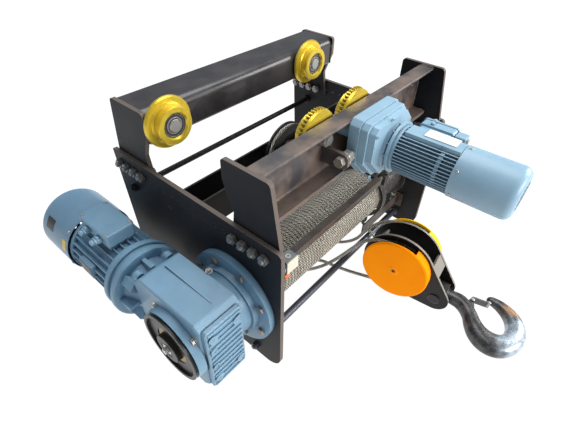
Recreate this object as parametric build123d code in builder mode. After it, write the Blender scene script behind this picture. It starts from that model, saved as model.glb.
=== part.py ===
import os
from math import asin, cos, degrees, pi, radians, sin, sqrt, tan

from build123d import *

# Low-headroom wire rope hoist, lying on the floor as it is delivered.
# X runs along the drum, Y across it towards the idler wheels, Z is up.
# The origin is on the floor, under the middle of the runway girder that the wheels straddle,
# half way between the side plates. Sizes are in millimetres.

# Driving sizes of the frame
plate_thickness = 15.0
inner_width = 985.0
plate_length = 795.0
plate_height = 578.0
plate_middle_y = 37.0
top_corner_radius = 16.0
foot_corner_radius = 62.0
bolt_pitch = 41.5
bolt_row_drop = 48.0
row_hole_radius = 5.5
row_hole_count = 10
bolt_radius = 10.0
bolt_across_flats = 30.0
bolt_head_height = 13.0
bolt_clearance = 0.5
fastener_seat = 0.3

# Driving sizes of the trolley
wheel_height = 726.0
tread_radius = 63.0
flange_radius = 86.0
flange_width = 12.0
wheel_width = 45.0
gauge_half = 159.0
gear_module = 4.0
wheel_teeth = 40
pinion_teeth = 11
gear_width = 15.0
tooth_tip_share = 0.115
tooth_root_share = 0.345
back_band_radius = 80.0
idler_base = 710.0
trolley_middle_x = -57.0
axle_radius = 22.0
running_gap = 0.05
side_gap = 1.0

# Driving sizes of the two wheel beams
bracket_thickness = 14.0
bracket_height = 201.0
beam_wall = 7.0
near_beam_depth = 181.0
near_beam_flange = 58.0
near_beam_top = 773.0
far_beam_web_y = 214.0
far_beam_low = 664.0
far_beam_top = 778.0
far_beam_flange = 150.0
far_beam_bend = 30.0
web_hole_radius = 12.0

# Driving sizes of the drum and its rope
drum_axis_y = -161.0
drum_axis_z = 264.5
drum_radius = 94.0
rope_diameter = 14.0
rope_pitch = 16.2
wound_turns = 45
drum_end_gap = 8.0
drum_length = 940.0
drum_shaft_radius = 35.0
drum_flange_radius = 116.0
drum_flange_width = 8.0
spare_turns = 8

# Driving sizes of the hoist gearmotor
gear_flange_radius = 175.0
gear_flange_width = 22.0
gear_bolt_circle = 150.0
gear_bolt_count = 8
neck_radius = 128.0
housing_start = 84.0
housing_width = 150.0
housing_half_height = 155.0
housing_near_y = -276.0
housing_far_y = -2.0
housing_bevel = 22.0
cover_width = 136.0
cover_height = 282.0
cover_depth = 15.0
boss_radius = 126.0
boss_depth = 26.0
bell_radius = 133.0
bell_face_y = 103.0
motor_face_y = 151.0
motor_radius = 116.0
cowl_radius = 127.0
cowl_start_y = 403.0
cowl_end_y = 612.0
fin_count = 28
fin_height = 14.0
fin_width = 4.0
cowl_wall = 2.5

# Driving sizes of the trolley gearmotor
travel_axis_x = 52.5
travel_axis_z = 663.0
travel_cowl_radius = 82.0
travel_body_radius = 74.0
travel_cowl_start = -537.0
travel_cowl_end = -761.0
travel_flange_y = -378.0
travel_box_back = -268.0
travel_fin_count = 22

# Driving sizes of the hook block
block_turn = 6.4
cheek_radius = 145.0
cheek_end_radius = 56.0
block_reach = 195.0
cheek_thickness = 10.0
cheek_gap = 80.0
cover_radius = 135.0
cover_width_block = 40.0
cover_wall = 3.0
sheave_radius = 124.0
sheave_width = 30.0
sheave_groove = 105.0
block_near_x = 36.5
block_near_y = -476.0
hook_reach = 220.0
hook_offset = 12.0
rope_gap = 0.3
anchor_x = -250.0

os.makedirs("parts", exist_ok=True)

# Places worked out from the sizes above
left_in = -inner_width / 2
left_out = left_in - plate_thickness
right_in = inner_width / 2
right_out = right_in + plate_thickness
near_y = plate_middle_y - plate_length / 2
far_y = plate_middle_y + plate_length / 2
row_z = plate_height - bolt_row_drop
pitch_radius = gear_module * wheel_teeth / 2
pinion_radius = gear_module * pinion_teeth / 2
driven_half = pitch_radius + pinion_radius
bracket_top = plate_height + bracket_height


def across(x):
    # plane square to the drum axis: sketch x is Y, sketch y is Z, it faces +X
    return Plane.YZ.offset(x)


def along(y):
    # plane square to Y: sketch x is X, sketch y is Z, it faces -Y
    return Plane.XZ.offset(-y)


def level(z):
    return Plane.XY.offset(z)


def save(piece, name):
    piece.part.label = name
    export_step(piece.part, f"parts/{name}.step")


def hex_radius(flats):
    return flats / sqrt(3)


# Side plates, with the row of holes under the top edge
near_bolts = [near_y + 60.0 + i * bolt_pitch for i in range(4)]
far_bolts = [far_y - 34.0 - i * bolt_pitch for i in range(4)]
row_start = near_bolts[-1] + bolt_pitch
row_span = far_bolts[-1] - bolt_pitch - row_start
row_holes = [row_start + i * row_span / (row_hole_count - 1) for i in range(row_hole_count)]
bracket_bolts = near_bolts + far_bolts
rod_places = [(near_y + 112.0, 42.0), (far_y - 92.0, 451.0)]
channel_bolt = (136.0, 471.0)
rod_radius = 11.0
rod_end_radius = 8.0


def side_plate(face_x, bore_radius, flange_holes):
    with BuildPart() as plate:
        with BuildSketch(across(face_x)):
            with BuildLine():
                FilletPolyline(
                    (near_y, plate_height),
                    (near_y, 0),
                    (far_y - 30.0, 0),
                    (far_y, plate_height),
                    radius=[top_corner_radius, foot_corner_radius, foot_corner_radius, 4.0],
                    close=True,
                )
            make_face()
            with Locations((drum_axis_y, drum_axis_z)):
                Circle(bore_radius, mode=Mode.SUBTRACT)
                if flange_holes:
                    with PolarLocations(gear_bolt_circle, gear_bolt_count, start_angle=22.5):
                        Circle(bolt_radius * 0.8 + bolt_clearance, mode=Mode.SUBTRACT)
            with Locations([(y, row_z) for y in row_holes]):
                Circle(row_hole_radius, mode=Mode.SUBTRACT)
            with Locations([(y, row_z) for y in bracket_bolts]):
                Circle(bolt_radius + bolt_clearance, mode=Mode.SUBTRACT)
            with Locations(rod_places + [channel_bolt]):
                Circle(rod_end_radius + bolt_clearance, mode=Mode.SUBTRACT)
        extrude(amount=plate_thickness)
    return plate


side_plate_left = side_plate(left_out, drum_shaft_radius + 8.0, True)
save(side_plate_left, "side_plate_left")
bearing_radius = drum_shaft_radius + 12.0
side_plate_right = side_plate(right_in, bearing_radius, False)
save(side_plate_right, "side_plate_right")

# Beam brackets: leaning plates bolted inside the side plates, mirrored about the plates' middle
bracket_low = row_z - 34.0
bracket_points = [
    (near_y + 52.0, bracket_top),
    (near_y + 226.0, bracket_top),
    (near_y + 226.0, bracket_top - 70.0),
    (near_y + 190.0, bracket_top - 160.0),
    (near_y + 206.0, bracket_low),
    (near_y + 22.0, bracket_low),
    (near_y + 19.0, plate_height),
]
bracket_radii = [16.0, 12.0, 8.0, 20.0, 14.0, 14.0, 4.0]


def beam_bracket(face_x, mirrored):
    sign = -1.0 if mirrored else 1.0
    shift = 2 * plate_middle_y if mirrored else 0.0
    points = [(shift + sign * y, z) for y, z in bracket_points]
    with BuildPart() as bracket:
        with BuildSketch(across(face_x)):
            with BuildLine():
                FilletPolyline(*points, radius=bracket_radii, close=True)
            make_face()
            bolts = far_bolts if mirrored else near_bolts
            with Locations([(y, row_z) for y in bolts]):
                Circle(bolt_radius + bolt_clearance, mode=Mode.SUBTRACT)
        extrude(amount=bracket_thickness)
    return bracket


for name, mirrored in (("near_brackets", False), ("far_brackets", True)):
    with BuildPart() as brackets:
        for face_x in (left_in, right_in - bracket_thickness):
            add(beam_bracket(face_x, mirrored).part)
    save(brackets, name)

beam_left = left_in + bracket_thickness
beam_right = right_in - bracket_thickness

# Near beam: a channel with its flanges towards the trolley motor, carrying the driven wheels behind its web
back_plane = gauge_half + wheel_width
web_back = -back_plane - side_gap - 4.0
web_front = web_back - beam_wall
near_beam_low = near_beam_top - near_beam_depth
driven_places = [trolley_middle_x - driven_half, trolley_middle_x + driven_half]
idler_places = [trolley_middle_x - idler_base / 2, trolley_middle_x + idler_base / 2]
pinion_hub_radius = 28.0
stay_y = web_front - 76.0
stay_z = wheel_height - 52.0
lug_x = trolley_middle_x - 100.0
lug_thickness = 12.0
web_holes = [(beam_left + 46.0, near_beam_top - 62.0), (beam_right - 44.0, near_beam_top - 62.0)]
with BuildPart() as near_beam:
    with BuildSketch(across(beam_left)):
        with BuildLine():
            FilletPolyline(
                (web_back, near_beam_low),
                (web_back, near_beam_top),
                (web_back - near_beam_flange, near_beam_top),
                (web_back - near_beam_flange, near_beam_top - 9.0),
                (web_front, near_beam_top - 12.0),
                (web_front, near_beam_low + 12.0),
                (web_back - near_beam_flange, near_beam_low + 9.0),
                (web_back - near_beam_flange, near_beam_low),
                radius=[2.0, 2.0, 2.0, 3.0, 9.0, 9.0, 3.0, 2.0],
                close=True,
            )
        make_face()
    extrude(amount=beam_right - beam_left)
    with BuildSketch(along(web_back)):
        with Locations(web_holes):
            Circle(web_hole_radius)
        with Locations([(x, wheel_height) for x in driven_places]):
            Circle(axle_radius * 0.7 + bolt_clearance)
        with Locations((trolley_middle_x, wheel_height)):
            Circle(pinion_hub_radius + bolt_clearance)
    extrude(amount=beam_wall + 2.0, mode=Mode.SUBTRACT)
    with BuildSketch(across(lug_x)):
        with BuildLine():
            FilletPolyline(
                (web_front + 2.0, stay_z + 26.0),
                (stay_y - 24.0, stay_z + 24.0),
                (stay_y - 24.0, stay_z - 24.0),
                (web_front + 2.0, stay_z - 34.0),
                radius=[1.0, 18.0, 18.0, 1.0],
                close=True,
            )
        make_face()
        with Locations((stay_y, stay_z)):
            Circle(bolt_radius + bolt_clearance, mode=Mode.SUBTRACT)
    extrude(amount=lug_thickness)
save(near_beam, "near_beam")

# Far beam: a plate bent to a channel that opens away from the girder
far_web_back = far_beam_web_y + beam_wall
with BuildPart() as far_beam:
    with BuildSketch(across(beam_left)):
        with BuildLine():
            FilletPolyline(
                (far_beam_web_y, far_beam_low),
                (far_beam_web_y, far_beam_top),
                (far_beam_web_y + far_beam_flange, far_beam_top),
                (far_beam_web_y + far_beam_flange, far_beam_top - beam_wall),
                (far_web_back, far_beam_top - beam_wall),
                (far_web_back, far_beam_low + beam_wall),
                (far_beam_web_y + 60.0, far_beam_low + beam_wall),
                (far_beam_web_y + 60.0, far_beam_low),
                radius=[far_beam_bend / 2, far_beam_bend, 1.0, 1.0, far_beam_bend - beam_wall, 8.0, 1.0, 1.0],
                close=True,
            )
        make_face()
    extrude(amount=beam_right - beam_left)
    with BuildSketch(along(far_web_back)):
        with Locations([(x, wheel_height) for x in idler_places]):
            Circle(axle_radius * 0.7 + bolt_clearance)
    extrude(amount=beam_wall + 2.0, mode=Mode.SUBTRACT)
save(far_beam, "far_beam")


# Idler wheels: flange on the beam side, crowned tread, stepped web and a bearing seat
bearing_outer = 40.0
bearing_width = 18.0


def place_y(y, turned):
    # the same profile serves both sides of the girder
    return -y if turned else y


def wheel_blank(x, turned, geared):
    sign = -1.0 if turned else 1.0
    back = back_plane
    front = gauge_half
    gear_from = back - 10.0
    profile = [(axle_radius + running_gap, back - 4.0), (axle_radius + running_gap, front + bearing_width)]
    profile += [(bearing_outer, front + bearing_width), (bearing_outer, front + 6.0), (bearing_outer + 5.0, front)]
    if geared:
        rim = back_band_radius - gear_module * 2.2
        profile += [(tread_radius - 3.0, front), (tread_radius, front + 3.0), (tread_radius, gear_from - gear_width)]
        profile += [(rim, gear_from - gear_width), (rim, gear_from), (back_band_radius, gear_from)]
        profile += [(back_band_radius, back), (axle_radius + 18.0, back), (axle_radius + 18.0, back - 4.0)]
    else:
        profile += [(tread_radius - 3.0, front), (tread_radius, front + 3.0)]
        profile += [(tread_radius - 1.5, back - flange_width - 4.0), (tread_radius + 4.0, back - flange_width)]
        profile += [(flange_radius - 4.0, back - flange_width), (flange_radius, back - flange_width + 5.0)]
        profile += [(flange_radius, back), (axle_radius + 18.0, back), (axle_radius + 18.0, back - 4.0)]
    plane = Plane(origin=(x, 0, wheel_height), x_dir=(1, 0, 0), z_dir=(0, 0, 1))
    with BuildPart() as wheel:
        with BuildSketch(plane):
            with BuildLine():
                Polyline([(r, sign * y) for r, y in profile], close=True)
            make_face()
        revolve(axis=Axis((x, 0, wheel_height), (0, 1, 0)))
    return wheel


def tooth_ring(x, z, teeth, phase, low_y, width, bore):
    # spur ring with trapezium teeth: involute flanks are near enough straight at this size,
    # and the shares of the pitch leave a running backlash all through the mesh
    pitch = gear_module * teeth / 2
    tip = pitch + gear_module * 0.9
    root = pitch - gear_module * 1.15
    step = 2 * pi / teeth
    points = []
    for i in range(teeth):
        middle = radians(phase) + i * step
        corners = [(root, -tooth_root_share), (tip, -tooth_tip_share)]
        corners += [(tip, tooth_tip_share), (root, tooth_root_share)]
        for radius, share in corners:
            points.append((radius * cos(middle + share * step), radius * sin(middle + share * step)))
    with BuildPart() as ring:
        with BuildSketch(Plane(origin=(x, low_y, z), x_dir=(1, 0, 0), z_dir=(0, -1, 0))):
            with BuildLine():
                Polyline(*points, close=True)
            make_face()
            Circle(bore, mode=Mode.SUBTRACT)
        extrude(amount=-width)
    return ring


gear_low_y = -back_plane + 10.0
for name, x in (("idler_wheel_left", idler_places[0]), ("idler_wheel_right", idler_places[1])):
    save(wheel_blank(x, False, False), name)

phases = [0.0, 180.0 / wheel_teeth]
for name, x, phase in zip(("driven_wheel_left", "driven_wheel_right"), driven_places, phases):
    blank = wheel_blank(x, True, True)
    ring = tooth_ring(x, wheel_height, wheel_teeth, phase, gear_low_y, gear_width, axle_radius + 20.0)
    with BuildPart() as geared_wheel:
        add(blank.part)
        add(ring.part)
    save(geared_wheel, name)

# Pinion and its shaft, driven by the trolley gear unit through the web
pinion_ring = tooth_ring(trolley_middle_x, wheel_height, pinion_teeth, 0.0, gear_low_y, gear_width, 8.0)
pinion_shaft_radius = 15.0
with BuildPart() as travel_pinion:
    add(pinion_ring.part)
    with BuildSketch(along(gear_low_y + gear_width)):
        with Locations((trolley_middle_x, wheel_height)):
            Circle(pinion_shaft_radius)
    extrude(amount=gear_low_y + gear_width - travel_box_back + 30.0)
save(travel_pinion, "travel_pinion")

# Axles: shouldered pins through the beam webs, one nut each, grouped by beam


def axle_profile(x, turned, web_y):
    # the bearing shoulder sits behind the wheel; the thread and nut are beyond the web
    sign = -1.0 if turned else 1.0
    shoulder = back_plane + side_gap
    thread_radius = axle_radius * 0.7
    seat_end = gauge_half + 2.0
    web_far = web_y + beam_wall
    nut_end = web_far + fastener_seat + 24.0
    profile = [(0, seat_end), (axle_radius - 3.0, seat_end), (axle_radius, seat_end + 3.0)]
    profile += [(axle_radius, shoulder), (axle_radius + 8.0, shoulder), (axle_radius + 8.0, web_y)]
    profile += [(thread_radius, web_y), (thread_radius, nut_end + 6.0), (0, nut_end + 6.0)]
    with BuildPart() as axle:
        with BuildSketch(Plane(origin=(x, 0, wheel_height), x_dir=(1, 0, 0), z_dir=(0, 0, 1))):
            with BuildLine():
                Polyline([(r, sign * y) for r, y in profile], close=True)
            make_face()
        revolve(axis=Axis((x, 0, wheel_height), (0, 1, 0)))
        nut_y = sign * (web_far + fastener_seat)
        with BuildSketch(Plane(origin=(x, nut_y, wheel_height), x_dir=(1, 0, 0), z_dir=(0, sign, 0))):
            RegularPolygon(hex_radius(40.0), 6)
        extrude(amount=24.0)
    return axle


with BuildPart() as idler_axles:
    for x in idler_places:
        add(axle_profile(x, False, far_beam_web_y).part)
save(idler_axles, "idler_axles")

with BuildPart() as driven_axles:
    for x in driven_places:
        add(axle_profile(x, True, -web_back).part)
save(driven_axles, "driven_axles")

# Tie rods with a collar and a nut at each plate
rod_collar = 17.0
for name, (y, z) in zip(("tie_rod_near", "tie_rod_far"), rod_places):
    with BuildPart() as tie_rod:
        with BuildSketch(across(left_in)):
            with Locations((y, z)):
                Circle(rod_radius)
        extrude(amount=inner_width)
        with BuildSketch(across(left_out - 20.0)):
            with Locations((y, z)):
                Circle(rod_end_radius)
        extrude(amount=inner_width + 2 * plate_thickness + 40.0)
        for face_x, outward in ((left_out - fastener_seat, -1.0), (right_out + fastener_seat, 1.0)):
            with BuildSketch(Plane(origin=(face_x, y, z), x_dir=(0, 1, 0), z_dir=(outward, 0, 0))):
                RegularPolygon(hex_radius(26.0), 6)
            extrude(amount=14.0)
        for face_x, inward in ((left_in, 1.0), (right_in, -1.0)):
            with BuildSketch(Plane(origin=(face_x, y, z), x_dir=(0, 1, 0), z_dir=(inward, 0, 0))):
                Circle(rod_collar)
            extrude(amount=12.0)
    save(tie_rod, name)

# Cross channel between the plates, open upwards, which carries the return sheave
channel_near_y = -36.0
channel_far_y = 61.0
channel_low = plate_height - 118.0
channel_wall = 7.0
return_x = -50.0
return_radius = 104.0
return_width = 30.0
return_z = plate_height + 66.0 - return_radius
return_y = (channel_near_y + channel_far_y) / 2
return_pin_radius = 20.0
well_half = return_radius + 26.0
with BuildPart() as cross_channel:
    with BuildSketch(across(left_in)):
        with BuildLine():
            FilletPolyline(
                (channel_near_y, plate_height),
                (channel_near_y, channel_low),
                (channel_far_y, channel_low),
                (channel_far_y, plate_height),
                (channel_far_y - channel_wall, plate_height),
                (channel_far_y - channel_wall, channel_low + channel_wall),
                (channel_near_y + channel_wall, channel_low + channel_wall),
                (channel_near_y + channel_wall, plate_height),
                radius=[1.0, 12.0, 12.0, 1.0, 1.0, 5.0, 5.0, 1.0],
                close=True,
            )
        make_face()
    extrude(amount=inner_width)
    with BuildSketch(level(channel_low - 1.0)):
        with Locations((return_x, return_y)):
            RectangleRounded(2 * well_half, return_width + 20.0, 8.0)
    extrude(amount=channel_wall + 2.0, mode=Mode.SUBTRACT)
    with BuildSketch(along(channel_far_y + 1.0)):
        with Locations((return_x, return_z)):
            Circle(return_pin_radius + 0.2)
    extrude(amount=channel_far_y - channel_near_y + 2.0, mode=Mode.SUBTRACT)
    for face_x, inward in ((left_in, 1.0), (right_in, -1.0)):
        end_middle = (face_x, return_y, channel_low + 40.0)
        with BuildSketch(Plane(origin=end_middle, x_dir=(0, 1, 0), z_dir=(inward, 0, 0))):
            Rectangle(channel_far_y - channel_near_y - channel_wall, 70.0)
        extrude(amount=10.0)
save(cross_channel, "cross_channel")


def sheave(plane, outer, groove, width, bore):
    # grooved rope sheave with a dished web, turned about the plane's own x axis
    half = width / 2
    profile = [
        (-half, bore),
        (-half, bore + 16.0),
        (-half + 8.0, bore + 20.0),
        (-half + 8.0, groove - 18.0),
        (-half, groove - 10.0),
        (-half, outer),
        (-half + 5.0, outer),
        (-rope_diameter * 0.45, groove),
        (rope_diameter * 0.45, groove),
        (half - 5.0, outer),
        (half, outer),
        (half, groove - 10.0),
        (half - 8.0, groove - 18.0),
        (half - 8.0, bore + 20.0),
        (half, bore + 16.0),
        (half, bore),
    ]
    with BuildPart() as wheel:
        with BuildSketch(plane):
            with BuildLine():
                Polyline(*profile, close=True)
            make_face()
        revolve(axis=Axis(plane.origin, plane.x_dir))
    return wheel


return_plane = Plane(origin=(return_x, return_y, return_z), x_dir=(0, 1, 0), z_dir=(1, 0, 0))
return_sheave = sheave(return_plane, return_radius, return_radius - 18.0, return_width, return_pin_radius + running_gap)
save(return_sheave, "return_sheave")

with BuildPart() as return_pin:
    with BuildSketch(along(channel_far_y + 8.0)):
        with Locations((return_x, return_z)):
            Circle(return_pin_radius)
    extrude(amount=channel_far_y - channel_near_y + 16.0)
    for low_y in (return_y + return_width / 2 + side_gap, channel_near_y + channel_wall + 0.3):
        high_y = channel_far_y - channel_wall - 0.3
        if low_y < return_y:
            high_y = return_y - return_width / 2 - side_gap
        with BuildSketch(along(high_y)):
            with Locations((return_x, return_z)):
                Circle(return_pin_radius + 8.0)
        extrude(amount=high_y - low_y)
save(return_pin, "return_sheave_pin")

# Drum: shell with end flanges and its shaft ends, and the rope wound on it
drum_left = left_in + drum_end_gap
drum_right = drum_left + drum_length
wound_left = drum_left + drum_flange_width
wound_right = wound_left + wound_turns * rope_pitch
rope_core = drum_radius + 0.05
rope_outer = drum_radius + rope_diameter
drum_plane = Plane(origin=(0, drum_axis_y, drum_axis_z), x_dir=(1, 0, 0), z_dir=(0, -1, 0))
drum_axis = Axis((0, drum_axis_y, drum_axis_z), (1, 0, 0))
shaft_end = right_out + 6.0
groove_depth = 2.4
bare_turns = int((drum_right - drum_flange_width - wound_right) / rope_pitch)
with BuildPart() as drum:
    with BuildSketch(drum_plane):
        with BuildLine():
            points = [(left_out - 4.0, 0), (left_out - 4.0, drum_shaft_radius), (drum_left, drum_shaft_radius)]
            points += [(drum_left, drum_flange_radius), (wound_left, drum_flange_radius), (wound_left, drum_radius)]
            points += [(wound_right - 0.2, drum_radius)]
            for i in range(bare_turns):
                start = wound_right + i * rope_pitch
                points += [(start, drum_radius + 0.5), (start + rope_pitch / 2, drum_radius - groove_depth)]
            points += [(wound_right + bare_turns * rope_pitch, drum_radius + 0.5)]
            points += [(drum_right - drum_flange_width, drum_radius + 0.5)]
            points += [(drum_right - drum_flange_width, drum_flange_radius), (drum_right, drum_flange_radius)]
            points += [(drum_right, drum_shaft_radius), (shaft_end, drum_shaft_radius), (shaft_end, 0)]
            Polyline(*points, close=True)
        make_face()
    revolve(axis=drum_axis)
save(drum, "drum")

with BuildPart() as wound_rope:
    with BuildSketch(drum_plane):
        with BuildLine():
            points = [(wound_left + 0.2, rope_core)]
            for i in range(wound_turns):
                middle = wound_left + (i + 0.5) * rope_pitch
                points += [(middle - rope_pitch * 0.48, rope_outer - 4.5), (middle - rope_pitch * 0.2, rope_outer)]
                points += [(middle + rope_pitch * 0.2, rope_outer)]
            points += [(wound_right - 0.4, rope_outer - 4.5), (wound_right - 0.4, rope_core)]
            Polyline(*points, close=True)
        make_face()
    revolve(axis=drum_axis)
save(wound_rope, "wound_rope")

# Bearing housing of the drum's free end, bolted on the outside of the right plate
with BuildPart() as drum_bearing:
    with BuildSketch(across(right_out)):
        with Locations((drum_axis_y, drum_axis_z)):
            Circle(bearing_radius + 38.0)
            Circle(drum_shaft_radius + running_gap, mode=Mode.SUBTRACT)
            with PolarLocations(bearing_radius + 24.0, 4, start_angle=45.0):
                Circle(6.0, mode=Mode.SUBTRACT)
    extrude(amount=14.0)
    with BuildSketch(across(right_out + 14.0)):
        with Locations((drum_axis_y, drum_axis_z)):
            Circle(bearing_radius + 6.0)
    extrude(amount=18.0)
    with BuildSketch(across(right_out + 14.0)):
        with Locations((drum_axis_y, drum_axis_z)):
            Circle(drum_shaft_radius + 4.0)
    extrude(amount=10.0, mode=Mode.SUBTRACT)
save(drum_bearing, "drum_bearing")

# Rope guide: a split ring round the drum with the rope's outlet under it, which travels along the drum
guide_x = wound_right - 4.0
guide_width = 26.0
guide_inner = rope_outer + 4.0
guide_outer = rope_outer + 17.0
outlet_angle = -78.0
outlet_y = drum_axis_y - (guide_outer + 14.0) * cos(radians(outlet_angle))
outlet_z = drum_axis_z + (guide_outer + 14.0) * sin(radians(outlet_angle))
bar_y = -258.0
bar_z = 386.0
bar_radius = 9.0
with BuildPart() as rope_guide:
    with BuildSketch(across(guide_x - guide_width / 2)):
        with Locations((drum_axis_y, drum_axis_z)):
            Circle(guide_outer)
            Circle(guide_inner, mode=Mode.SUBTRACT)
        with Locations((outlet_y, outlet_z)):
            RectangleRounded(58.0, 44.0, 6.0)
        with Locations((bar_y, bar_z - 12.0)):
            Rectangle(34.0, 46.0)
        with Locations((drum_axis_y, drum_axis_z)):
            Circle(guide_inner, mode=Mode.SUBTRACT)
        with Locations((bar_y, bar_z)):
            Circle(bar_radius + 0.4, mode=Mode.SUBTRACT)
    extrude(amount=guide_width)
    with BuildSketch(level(outlet_z - 30.0)):
        with Locations((guide_x, outlet_y)):
            Circle(rope_diameter / 2 + 1.5)
    extrude(amount=60.0, mode=Mode.SUBTRACT)
save(rope_guide, "rope_guide")

# Limit rod in front of the drum, in blocks on the side plates
with BuildPart() as limit_bar:
    with BuildSketch(across(left_in + fastener_seat)):
        with Locations((bar_y, bar_z)):
            Circle(bar_radius)
    extrude(amount=inner_width - 2 * fastener_seat)
save(limit_bar, "limit_bar")

# Limit switches: body, cover with two screws, and a sprung lever each
switch_length = 62.0
switch_places = (("left", left_in + 66.0, 1.0), ("right", right_in - 66.0 - switch_length, -1.0))
switch_y = bar_y - 22.0
switch_z = bar_z + 14.0
for side, start_x, inward in switch_places:
    with BuildPart() as limit_switch:
        with BuildSketch(across(start_x)):
            with Locations((switch_y, switch_z - 6.0)):
                RectangleRounded(26.0, 44.0, 3.0)
        extrude(amount=switch_length)
        fillet(limit_switch.edges().filter_by(Axis.Y), 3.0)
        with BuildSketch(along(switch_y - 13.0)):
            with Locations([(start_x + 14.0, switch_z - 4.0), (start_x + switch_length - 14.0, switch_z - 4.0)]):
                Circle(8.0)
        extrude(amount=3.0)
    save(limit_switch, f"limit_switch_{side}")
    lever_x = start_x + switch_length / 2
    pivot_z = switch_z - 38.0
    with BuildPart() as switch_lever:
        with BuildSketch(across(lever_x - 5.0)):
            with BuildLine():
                FilletPolyline(
                    (switch_y - 8.0, pivot_z + 8.0),
                    (switch_y - 14.0, pivot_z - 14.0),
                    (switch_y, pivot_z - 20.0),
                    (switch_y + 8.0, pivot_z + 6.0),
                    radius=4.0,
                    close=True,
                )
            make_face()
        extrude(amount=10.0)
    save(switch_lever, f"switch_lever_{side}")

# Frame bolts: hexagon heads outside the plates, nuts inside the brackets
with BuildPart() as frame_bolts:
    for outer_x, inner_x, outward in (
        (left_out - fastener_seat, beam_left + fastener_seat, -1.0),
        (right_out + fastener_seat, beam_right - fastener_seat, 1.0),
    ):
        for y in bracket_bolts:
            with BuildSketch(Plane(origin=(outer_x, y, row_z), x_dir=(0, 1, 0), z_dir=(outward, 0, 0))):
                RegularPolygon(hex_radius(bolt_across_flats), 6)
            extrude(amount=bolt_head_height)
            with BuildSketch(Plane(origin=(outer_x, y, row_z), x_dir=(0, 1, 0), z_dir=(-outward, 0, 0))):
                Circle(bolt_radius)
            extrude(amount=abs(outer_x - inner_x) + 22.0)
            with BuildSketch(Plane(origin=(inner_x, y, row_z), x_dir=(0, 1, 0), z_dir=(-outward, 0, 0))):
                RegularPolygon(hex_radius(bolt_across_flats), 6)
            extrude(amount=16.0)
    for i in range(gear_bolt_count):
        angle = radians(22.5 + i * 360.0 / gear_bolt_count)
        y = drum_axis_y + gear_bolt_circle * cos(angle)
        z = drum_axis_z + gear_bolt_circle * sin(angle)
        head_x = left_out - gear_flange_width - fastener_seat
        with BuildSketch(Plane(origin=(head_x, y, z), x_dir=(0, 1, 0), z_dir=(-1, 0, 0))):
            RegularPolygon(hex_radius(24.0), 6)
        extrude(amount=10.0)
        with BuildSketch(Plane(origin=(head_x, y, z), x_dir=(0, 1, 0), z_dir=(1, 0, 0))):
            Circle(bolt_radius * 0.8)
        extrude(amount=gear_flange_width + plate_thickness + 6.0)
save(frame_bolts, "frame_bolts")

# Hoist gear unit: output flange and stepped neck
neck_end = left_out - housing_start
with BuildPart() as gear_flange:
    with BuildSketch(across(left_out)):
        with Locations((drum_axis_y, drum_axis_z)):
            Circle(gear_flange_radius)
            with PolarLocations(gear_bolt_circle, gear_bolt_count, start_angle=22.5):
                Circle(bolt_radius * 0.8 + bolt_clearance, mode=Mode.SUBTRACT)
    extrude(amount=-gear_flange_width)
    with BuildSketch(across(left_out - gear_flange_width)):
        with Locations((drum_axis_y, drum_axis_z)):
            Circle(neck_radius)
    extrude(amount=-18.0, taper=14.0)
    with BuildSketch(across(left_out - gear_flange_width - 18.0)):
        with Locations((drum_axis_y, drum_axis_z)):
            Circle(neck_radius - 14.0)
    extrude(amount=-(housing_start - gear_flange_width - 18.0))
    with BuildSketch(across(left_out + 1.0)):
        with Locations((drum_axis_y, drum_axis_z)):
            Circle(drum_shaft_radius + 6.0)
    extrude(amount=-20.0, mode=Mode.SUBTRACT)
save(gear_flange, "gear_output_flange")

# Gear housing: a tall box with bevelled edges, a round boss on the outer side and the input side narrowed
housing_right = neck_end
housing_left = housing_right - housing_width
housing_middle = (housing_left + housing_right) / 2
housing_low = drum_axis_z - housing_half_height
housing_high = drum_axis_z + housing_half_height
with BuildPart() as gear_housing:
    with BuildSketch(across(housing_left)):
        with BuildLine():
            FilletPolyline(
                (housing_near_y, housing_low + housing_bevel),
                (housing_near_y, housing_high - housing_bevel),
                (housing_near_y + housing_bevel, housing_high),
                (housing_far_y, housing_high - 6.0),
                (housing_far_y + 40.0, housing_high - 46.0),
                (housing_far_y + 40.0, housing_low + 46.0),
                (housing_far_y, housing_low + 6.0),
                (housing_near_y + housing_bevel, housing_low),
                radius=[4.0, 6.0, 8.0, 18.0, 20.0, 20.0, 18.0, 8.0],
                close=True,
            )
        make_face()
    extrude(amount=housing_width)
    fillet(gear_housing.faces().sort_by(Axis.X)[0].edges(), 7.0)
    with BuildSketch(across(housing_left)):
        with Locations((drum_axis_y, drum_axis_z)):
            Circle(boss_radius)
    extrude(amount=-boss_depth, taper=10.0)
    with BuildSketch(across(housing_left - boss_depth)):
        with Locations((drum_axis_y, drum_axis_z)):
            Circle(boss_radius - 16.0)
    extrude(amount=10.0, mode=Mode.SUBTRACT)
    with BuildSketch(across(housing_left - boss_depth + 10.0)):
        with Locations((drum_axis_y, drum_axis_z)):
            Circle(48.0)
            Circle(28.0, mode=Mode.SUBTRACT)
    extrude(amount=-16.0)
    with BuildSketch(level(housing_high - 3.0)):
        with Locations((housing_middle + 12.0, (housing_near_y + housing_far_y) / 2 + 14.0)):
            Rectangle(3.0, housing_far_y - housing_near_y - 60.0)
    extrude(amount=4.5)
    with BuildSketch(along(housing_far_y + 20.0)):
        with Locations([(housing_left + 20.0, housing_high - 30.0), (housing_right - 20.0, housing_high - 30.0)]):
            Circle(15.0)
    extrude(amount=-22.0)
save(gear_housing, "gear_housing")

# Brass seal ring of the hollow shaft
with BuildPart() as bore_seal:
    with BuildSketch(across(housing_left - boss_depth + 10.0 - fastener_seat)):
        with Locations((drum_axis_y, drum_axis_z)):
            Circle(66.0)
            Circle(50.0, mode=Mode.SUBTRACT)
    extrude(amount=-9.0)
save(bore_seal, "hollow_shaft_seal")

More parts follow.
